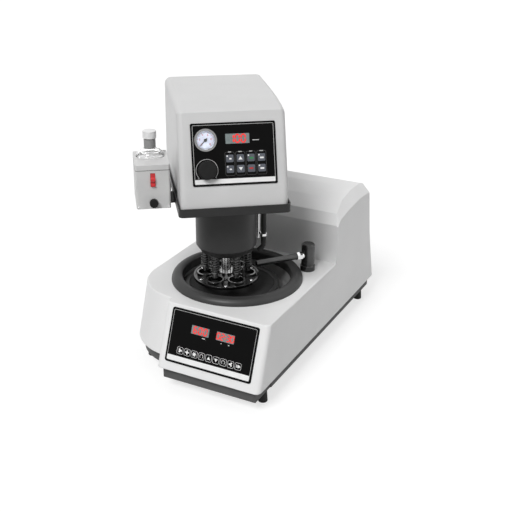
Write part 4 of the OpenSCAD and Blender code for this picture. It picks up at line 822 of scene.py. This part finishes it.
def outline_of(width, height, radius, line, low, high):
    """The outline of a rounded rectangle, drawn with a line of even width."""
    inner = rounded(width - 2 * line, height - 2 * line, max(radius - line, line / 4))
    return frame_prism(rounded(width, height, radius), inner, low, high)


print("outline functions ready")

# %% [markdown]
# A lit digit has seven bars. Written on a clock face of their own, bar a is on top, b to f follow
# clockwise and g lies across the middle. The whole digit leans a little, as such displays do.

# %% Seven-bar digits
bars_of = {
    "0": "abcdef", "1": "bc", "2": "abged", "3": "abgcd", "4": "fgbc", "5": "afgcd",
    "6": "afgedc", "7": "abc", "8": "abcdefg", "9": "abcdfg",
}


def digits(text, height, low, high, weight=0.17, pitch=0.8, slant=0.08):
    """Every digit's bars as prisms, the text centred on the origin."""
    w, h, gap = height * 0.52, height, height * 0.02
    corner = {
        "tl": (0, h), "tr": (w, h), "ml": (0, h / 2), "mr": (w, h / 2), "bl": (0, 0), "br": (w, 0)
    }
    ends = {
        "a": "tl tr", "b": "tr mr", "c": "mr br", "d": "bl br", "e": "bl ml", "f": "ml tl",
        "g": "ml mr",
    }
    step = height * pitch
    widths = [step * (0.45 if c in ":." else 1) for c in text]
    starts = np.cumsum([0] + widths[:-1]) - sum(widths) / 2
    lean = np.array([[1, 0], [slant, 1]])
    parts = []
    for character, start in zip(text, starts):
        if character == ":":
            outlines = [
                rounded(weight * h, weight * h, weight * h / 4) + (step * 0.12, h * share)
                for share in (0.28, 0.72)
            ]
        else:
            outlines = []
            for key in bars_of[character]:
                first, last = (np.array(corner[k]) for k in ends[key].split())
                shorten = (last - first) / np.linalg.norm(last - first) * gap
                outlines.append(bar(first + shorten, last - shorten, weight * h))
        for outline in outlines:
            spots = (outline - (0, h / 2)) @ lean + (start + (step - w) / 2, 0)
            x, y = spots.T
            area = np.sum(x * np.roll(y, -1) - y * np.roll(x, -1))
            parts.append(prism(spots if area > 0 else spots[::-1], low, high))
    return parts


print("a three-digit display has", len(digits("600", 10, 0, 1)), "bars")

# %% [markdown]
# ## The base's foil panel
#
# The foil is black, with a fine silver line just inside its edge and a white band along the bottom.
# Two grey windows let the lit digits through: the speed and the time. Under them nine keys stand in a
# row, each a thin white outline with a symbol. All this is print, a tenth of a millimetre proud.

# %% Printing on the base's panel
foil = 1.6
key_lift = 0.4
print_height = 0.12
band_height = print_height * 1.4
border_line = 0.7
pane_low, pane_high = foil - key_lift, foil - key_lift + 0.15
digit_top = foil - 0.05
base_width, base_height = 198.0, 113.0
base_band_up = -46.4
window_places = ((-28.75, 20.34), (28.75, 20.34))
window_size = (40.5, 17.5)


def printed(outline, low=foil, height=print_height):
    """Print on a foil or a key: a flat solid on the surface at height low."""
    return prism(outline, low, low + height)


border = outline_of(
    base_width - 8.4, base_height - 8.4, 3.0, border_line, foil, foil + print_height
)
band = printed(rounded(base_width - 9.6, 10.6, 0.8), height=band_height)
make_piece("base_border", [border], on_base_panel, "base", silver_print)
make_piece(
    "base_band", [moved(band, up=base_band_up)], on_base_panel, "base", white_print,
)
pane = prism(rounded(*window_size, 0.8), pane_low, pane_high)
windows = [moved(pane, x, y) for x, y in window_places]
make_piece("base_windows", windows, on_base_panel, "base", window_tint)
lit = []
displays = (("600", 13.5, 0.86), ("02:30", 12.5, 0.74))
for (text, size, pitch), (x, y) in zip(displays, window_places):
    lit += [moved(part, x, y) for part in digits(text, size, pane_high, digit_top, 0.2, pitch)]
make_piece("base_digits", lit, on_base_panel, "base", lit_red)

# %% Keys of the base's panel
key_count, key_pitch, key_size = 9, 16.7, 14.4
key_row = -28.5
label_row = 7.0
key_top = foil + key_lift
key_places = (np.arange(key_count) - (key_count - 1) / 2) * key_pitch
outlines = [
    moved(outline_of(key_size, key_size, 3.2, 0.55, key_top, key_top + print_height), x, key_row)
    for x in key_places
]
symbols = [
    [wheel(4.6, 3, 0.72)], [wheel(4.6, 4, 0.75)], [wheel(4.8, 6, 0.6)], None, [arrow(6.5)],
    [arrow(6.5, up=False)], None, [wheel(4.6, 3, 0.8) @ np.array([[-1, 0], [0, -1]])],
    [
        rounded(1.4, 6, 0.3) - (3.4, 0), rounded(1.4, 6, 0.3) - (1.0, 0),
        arrow(6) @ [[0, -1], [1, 0]] + (2.8, 0),
    ],
]
turn_mark = flat_arc(3.6, 0.8, -60, 240, key_top, key_top + print_height)
marks = []
for x, shapes in zip(key_places, symbols):
    if shapes is None:
        marks.append(moved(turn_mark, x, key_row))
    else:
        marks += [moved(printed(outline, key_top), x, key_row) for outline in shapes]
for x, width in ((-19.0, 7.0), (21.5, 2.0), (39.0, 2.4)):
    marks.append(moved(printed(rounded(width, 1.4, 0.4)), x, label_row))
make_piece("base_keys", outlines + marks, on_base_panel, "base", white_print)

# %% [markdown]
# ## The head's foil panel
#
# The head's panel has the same silver line and white band, one window with the speed, and two rows of
# four grey keys in thin frames. The pressure gauge and the regulator's knob sit on its left.

# %% Printing on the head's panel
head_width, head_height = 163.0, 119.0
panel_middle = (3.5, 8.0 + head_height / 2)
head_window = (11.0, 96.0)
head_band_up = 16.6
border = outline_of(
    head_width - 7.4, head_height - 7.4, 2.0, border_line, foil, foil + print_height
)
band = printed(rounded(head_width - 8.6, 8.4, 0.6), height=band_height)
make_piece(
    "head_border", [moved(border, *panel_middle)], on_head_panel, "head", silver_print,
)
make_piece(
    "head_band", [moved(band, panel_middle[0], head_band_up)], on_head_panel, "head",
    white_print,
)
window = prism(rounded(46, 19, 0.8), pane_low, pane_high)
make_piece(
    "head_window", [moved(window, *head_window)], on_head_panel, "head", window_tint,
)
lit = [
    moved(part, *head_window)
    for part in digits("100", 14.5, pane_high, digit_top, 0.2, 0.78, 0.0)
]
make_piece("head_digits", lit, on_head_panel, "head", lit_red)

# %% Keys of the head's panel
columns = -5.5 + 20.4 * np.arange(4)
rows = (38.5, 58.7)
frame_middle, key_label_row = 48.6, 71.0
speed_label = (46.0, 92.0)
face_height = 0.2
key_face = printed(rounded(14.2, 14.2, 2.0), key_top, face_height)
faces = [moved(key_face, x, y) for x in columns for y in rows]
make_piece("head_keys", faces, on_head_panel, "head", key_grey)
thin_frame = outline_of(18.4, 45.0, 3.0, 0.45, foil, foil + print_height)
frames = [moved(thin_frame, x, frame_middle) for x in columns]
labels = [
    moved(printed(rounded(width, 1.5, 0.5), height=print_height * 2), x, key_label_row)
    for x, width in zip(columns, (6.0, 7.0, 6.0, 7.0))
]
labels.append(moved(printed(rounded(13.0, 1.4, 0.5)), *speed_label))
make_piece("head_frames", frames, on_head_panel, "head", frame_print)
make_piece("head_labels", labels, on_head_panel, "head", silver_print)

# %% Symbols and lamps on the head's keys
key_print = key_top + face_height


def on_key(outline, x, y):
    """Print on a key's grey face, x across and y up."""
    return moved(printed(outline, key_print), x, y)


marks = []
for y in rows:
    marks.append(on_key(wheel(2.3, 2, 0.45), columns[0] + 1, y - 0.5))
    marks.append(on_key(rounded(7.5, 3.2, 0.8), columns[3] + 0.5, y - 0.8))
marks.append(on_key(arrow(6.5), columns[1], rows[1]))
marks.append(on_key(arrow(6.5, up=False), columns[1], rows[0]))
for column, row in ((0, 0), (0, 1), (2, 1), (3, 0), (3, 1)):
    marks.append(on_key(rounded(2.6, 2.6, 0.4), columns[column] - 4.8, rows[row] + 4.6))
make_piece("head_symbols", marks, on_head_panel, "head", white_print)
green_bar = on_key(rounded(7.5, 3.0, 0.8), columns[2] + 0.8, rows[1] - 0.8)
red_bar = on_key(rounded(7.5, 3.0, 0.8), columns[2], rows[0])
make_piece("start_mark", [green_bar], on_head_panel, "head", green_print)
make_piece("stop_mark", [red_bar], on_head_panel, "head", red_print)

# %% [markdown]
# ## The pressure gauge
#
# A gauge reads from the lower left round to the lower right, three quarters of a turn. The dial is a
# pale disc at the bottom of the case, with fifty fine marks, eleven longer ones and a number at every
# second of those. A shallow dome of glass closes it, held by the case's bright rim.

# %% Dial, marks, numbers and glass
gauge_place = np.array([-50.0, 95.0, 0.0])
scale_start, scale_end = 225, -45
dial_radius = 17.4
mark_radius = dial_radius - 1.4
number_radius = dial_radius - 6.4
dial_low = foil - 2.0
dial_face, ink_top = dial_low + 0.12, dial_low + 0.18
rim_radius = 17.45
dial = turned([(dial_radius, dial_low), (dial_radius, dial_face)], 64)


def dial_marks(count, length, width):
    """Straight marks round the dial, from the scale's start clockwise to its end."""
    directions = np.linspace(scale_start, scale_end, count)
    starts, ends = around(mark_radius - length, directions), around(mark_radius, directions)
    return [
        prism(bar(start, end, width), dial_face, ink_top) for start, end in zip(starts, ends)
    ]


numbers = []
spots = around(number_radius, np.linspace(scale_start, scale_end, 6))
for value, spot in zip(range(0, 11, 2), spots):
    numbers += [
        moved(part, *spot)
        for part in digits(str(value), 3.0, dial_face, ink_top, 0.2, 0.8, 0.0)
    ]


def on_dial(points):
    """Points about the gauge's own axis, out from the head's face."""
    return on_head_panel(points + gauge_place)


make_piece("gauge_dial", [dial], on_dial, "head", dial_white)
make_piece("gauge_marks", dial_marks(51, 1.6, 0.3), on_dial, "head", blue_print)
make_piece(
    "gauge_long_marks", dial_marks(11, 3.0, 0.5) + numbers, on_dial, "head", red_print,
)
t = np.linspace(0, 1.35, 7)
dome = np.c_[rim_radius * np.cos(t), 3.3 + 1.1 * np.sin(t)]
glass_profile = np.vstack([[rim_radius, 2.9], dome])
make_piece(
    "gauge_glass", [turned(glass_profile, 64)], on_dial, "head", gauge_glass,
    True,
)

# %% [markdown]
# ## The regulator's scale
#
# Round the black knob runs a silver arc, open towards the bottom, with a short mark at each end.

# %% Arc round the regulator's knob
knob_place = (-50.0, 38.0)
arc_ends = (-41, 221)
arc_line = 0.8
arc = flat_arc(21.0, arc_line, *arc_ends, foil, foil + print_height, 64)
end_marks = [
    printed(bar(start, end, arc_line))
    for start, end in zip(around(20.2, arc_ends), around(24.0, arc_ends))
]
make_piece(
    "regulator_scale", [moved(part, *knob_place) for part in [arc] + end_marks], on_head_panel,
    "head", silver_print,
)

# %% [markdown]
# ## The springs
#
# Six springs press the fingers down on the specimens. Each is a wire wound as a helix whose turns lie
# close at both ends and open between. The height is a function of the turn, and a circle of wire is
# carried along it: the direction along the path comes from the difference of neighbouring points, one
# side points away from the axis, and the other is square to both.

# %% Wire of the springs
spring_turns, rings_per_turn, wire_sides = 7, 24, 10
wire_radius = 1.0
coil_radius = 8.0
spring_low, spring_high = 229.5, 263.5
close_pitch = 2.7
pitch_radius = 44.0
finger_phase = -10.0
spring_rise = spring_high - spring_low
finger_directions = finger_phase + 60 * np.arange(6)
finger_places = around(pitch_radius, finger_directions)


def spring_height(turn):
    """Close turns at both ends, open ones between, as three straight runs."""
    turns = [0, 1, spring_turns - 1, spring_turns]
    heights = [0, close_pitch, spring_rise - close_pitch, spring_rise]
    return spring_low + np.interp(turn, turns, heights)


def spring_tube(centre):
    """The wire's surface: path point + r (cos a * out + sin a * across) on a grid of turn and a."""
    turn = np.linspace(0, spring_turns, spring_turns * rings_per_turn + 1)
    t = 2 * np.pi * turn
    path = np.c_[coil_radius * np.cos(t), coil_radius * np.sin(t), spring_height(turn)]
    along = np.gradient(path, axis=0)
    along /= np.linalg.norm(along, axis=1)[:, None]
    out = np.c_[np.cos(t), np.sin(t), np.zeros_like(t)]
    side = np.cross(along, out)
    side /= np.linalg.norm(side, axis=1)[:, None]
    out = np.cross(side, along)
    a = np.linspace(0, 2 * np.pi, wire_sides, endpoint=False)[None, :, None]
    tube = path[:, None] + wire_radius * (np.cos(a) * out[:, None] + np.sin(a) * side[:, None])
    points, faces = stacked(tube)
    return points + np.array([*centre, 0.0]), faces


for i, centre in enumerate(finger_places):
    spring = make_piece(
        f"finger_spring_{i + 1}", [spring_tube(centre)], in_head, "rotor", spring_steel,
        True,
    )
    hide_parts("finger_springs")
    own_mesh(spring)

# %% [markdown]
# ## Screws
#
# Cap screws and pan-head screws hold the covers; here cap screws are made for the specimen holder and
# the chuck. A cap screw's head is a stack of loops: up the side, over a small chamfer, across to a
# six-sided socket and down into it. The hexagon's radius at an angle t is a / cos(t mod 60 deg - 30
# deg).

# %% Screw heads
screw_steps = 24
screw_turn = np.linspace(0, 2 * np.pi, screw_steps, endpoint=False)
holder_top, holder_screw_radius = 202.5, 60.5
chuck_top, chuck_screw_radius = 213.5, 14.0


def cap_screw(radius, height, socket):
    """Five loops: seat, top of the side, chamfer, rim of the socket and its floor."""
    six = socket / np.cos((screw_turn + np.pi / 6) % (np.pi / 3) - np.pi / 6)
    radii = [radius, radius, radius * 0.9, six, six]
    heights = [0, height * 0.85, height, height, height * 0.4]
    loops = [
        np.c_[r * np.cos(screw_turn), r * np.sin(screw_turn), np.full(screw_steps, h)]
        for r, h in zip(radii, heights)
    ]
    return stacked(loops)


holder_screws = [
    moved(cap_screw(3.0, 2.6, 1.4), x, y, holder_top)
    for x, y in around(holder_screw_radius, finger_directions + 30)
]
chuck_screws = [
    moved(cap_screw(2.2, 1.8, 1.1), x, y, chuck_top)
    for x, y in around(chuck_screw_radius, finger_phase + np.arange(0, 360, 90))
]
make_piece(
    "holder_screws", holder_screws + chuck_screws, in_head, "rotor", chrome, True,
)

# %% [markdown]
# ## Rims of the specimen places
#
# Each of the six places in the holder is a short cup. A thin flat ring of brighter metal on each
# cup's edge is a painted highlight: it stands in for the light that the raised edges catch.

# %% Painted highlights on the cup edges
cup_outside, cup_inside = 18.2, 15.3
cup_top = 210.0
circle = around(1.0, np.linspace(0, 360, 48, endpoint=False))
# painted highlight: a brighter metal ring on each cup's edge
rim = frame_prism(circle * cup_outside, circle * cup_inside, cup_top, cup_top + 0.15)
rim_highlights = [moved(rim, x, y) for x, y in finger_places]
make_piece("cup_rim_highlights", rim_highlights, in_head, "rotor", rim_steel)

# %% [markdown]
# ## Details of the dosing box
#
# The box is folded sheet with a lid on top: the joint shows as a dark line all round. Small screws sit
# in the lower corners of its front. A white turned body a little smaller than the bottle's inside is
# painted light: it stands in for the brightness seen through the clear bottle, which sits in a shaded
# well. A grey seal band closes the bottle's neck under the cap.

# %% Lid line, corner screws and the bottle's painted white fill
box_middle = (-150.5, -12.5)
box_size = (67.0, 95.0)
box_floor, lid_height = 384.0, 462.0
bottle_back = 16.0
band_low, band_high = 489.0, 508.0


def on_box_front(points):
    """Across from the middle of the box's front, up from its floor, out from its face."""
    across, up, out = points.T
    front = box_middle[1] - box_size[1] / 2
    return in_head(np.stack([box_middle[0] + across, front - out, box_floor + up], axis=1))


lid_line = frame_prism(
    rounded(box_size[0] + 0.3, box_size[1] + 0.3, 4.1) + box_middle,
    rounded(box_size[0] - 0.6, box_size[1] - 0.6, 3.7) + box_middle,
    lid_height, lid_height + 0.9,
)
make_piece("lid_line", [lid_line], in_head, "head", dark_print)
corner_screws = [moved(cap_screw(1.8, 0.8, 0.8), x, 4.6) for x in (-29.0, 29.0)]
make_piece("box_screws", corner_screws, on_box_front, "head", chrome, True)
bottle_middle = (box_middle[0], box_middle[1] + bottle_back)
fill = [
    (0.01, 398.0), (22.0, 398.0), (25.4, 401.5), (25.4, 471.0), (24.8, 471.6), (0.01, 471.6),
]
neck_band = frame_prism(circle * 11.7, circle * 11.1, band_low, band_high)
make_piece(
    "neck_band", [moved(neck_band, *bottle_middle)], in_head, "head", drain_grey,
)
# painted light: a white turned body inside the bottle, standing in for the brightness seen through it
make_piece(
    "painted_white_fill", [moved(turned(fill, 64), *bottle_middle)], in_head, "head", painted_white_fill,
    True,
)

# %% [markdown]
# ## The floor and the light
#
# The machine stands on a white ground that runs out into a white surround. The floor keeps the
# machine's soft shadow, and the camera, mirrors and clear plastic see the white surround. The light
# itself is plain: a wide lamp above and in front, a weaker one from the right, a little from straight
# above, and an even sky.

# %% The white that the camera sees


def seen_white_share(tree):
    """1 for a ray from the camera, off a mirror or through clear plastic, and 0 for any other:
    the sum of the three kinds, since a ray is of one kind only."""
    path = add_node(tree, "ShaderNodeLightPath")
    seen = add_node(tree, "ShaderNodeMath")
    seen.operation = "ADD"
    seen_through = add_node(tree, "ShaderNodeMath")
    seen_through.operation = "ADD"
    tree.links.new(path.outputs["Is Camera Ray"], seen.inputs[0])
    tree.links.new(path.outputs["Is Glossy Ray"], seen.inputs[1])
    tree.links.new(seen.outputs[0], seen_through.inputs[0])
    tree.links.new(path.outputs["Is Transmission Ray"], seen_through.inputs[1])
    return seen_through.outputs[0]


print("camera, glossy and transmission rays see white")

# %% Floor
reach = 6.0
floor_glow = 0.68
floor_mesh = bpy.data.meshes.new("floor")
corners = [(-reach, -reach, 0), (reach, -reach, 0), (reach, reach, 0), (-reach, reach, 0)]
floor_mesh.from_pydata(corners, [], [(0, 1, 2, 3)])
floor = add_object("floor", floor_mesh)
floor_white, tree, shader = new_material("floor_white")
shader.inputs["Base Color"].default_value = (0.4, 0.4, 0.4, 1)
shader.inputs["Roughness"].default_value = 0.9
shader.inputs["Specular IOR Level"].default_value = 0.0
shader.inputs["Emission Color"].default_value = (1, 1, 1, 1)
faint = add_node(tree, "ShaderNodeMath")
faint.operation = "MULTIPLY"
faint.inputs[1].default_value = floor_glow
tree.links.new(seen_white_share(tree), faint.inputs[0])
tree.links.new(faint.outputs[0], shader.inputs["Emission Strength"])
floor_mesh.materials.append(floor_white)
print("floor", 2 * reach, "m wide")

# %% World
sky_strength = 0.16
world = bpy.data.worlds.new("surround")
bpy.context.scene.world = world
world.use_nodes = True
tree = world.node_tree
sky = tree.nodes["Background"]
sky.inputs["Color"].default_value = (1, 1, 1, 1)
sky.inputs["Strength"].default_value = sky_strength
seen_white = add_node(tree, "ShaderNodeBackground", Color=(1, 1, 1, 1), Strength=1.0)
either = add_node(tree, "ShaderNodeMixShader")
tree.links.new(seen_white_share(tree), either.inputs[0])
tree.links.new(sky.outputs[0], either.inputs[1])
tree.links.new(seen_white.outputs[0], either.inputs[2])
tree.links.new(either.outputs[0], tree.nodes["World Output"].inputs["Surface"])
print("sky strength", sky_strength)

# %% Lamps


def add_lamp(name, towards, strength, width):
    """A distant soft lamp: it shines from the direction towards, as strongly everywhere."""
    data = bpy.data.lights.new(name, "SUN")
    data.energy = strength
    data.angle = math.radians(width)
    lamp = add_object(name, data)
    look = -Vector(towards)
    lamp.matrix_world = look.to_track_quat("-Z", "Y").to_matrix().to_4x4()
    return lamp


for name, towards, strength, width in (
    ("key", (-0.04, -0.68, 0.73), 2.5, 25),
    ("right", (0.85, 0.2, 0.42), 0.55, 50),
    ("top", (-0.1, 0.2, 0.97), 0.42, 60),
):
    add_lamp(name, towards, strength, width)
    print("lamp", name, "strength", strength, "width", width, "degrees")

# %% [markdown]
# ## The view
#
# The colours are shown as they are written, with the Standard view.

# %% View
bpy.context.scene.view_settings.view_transform = "Standard"
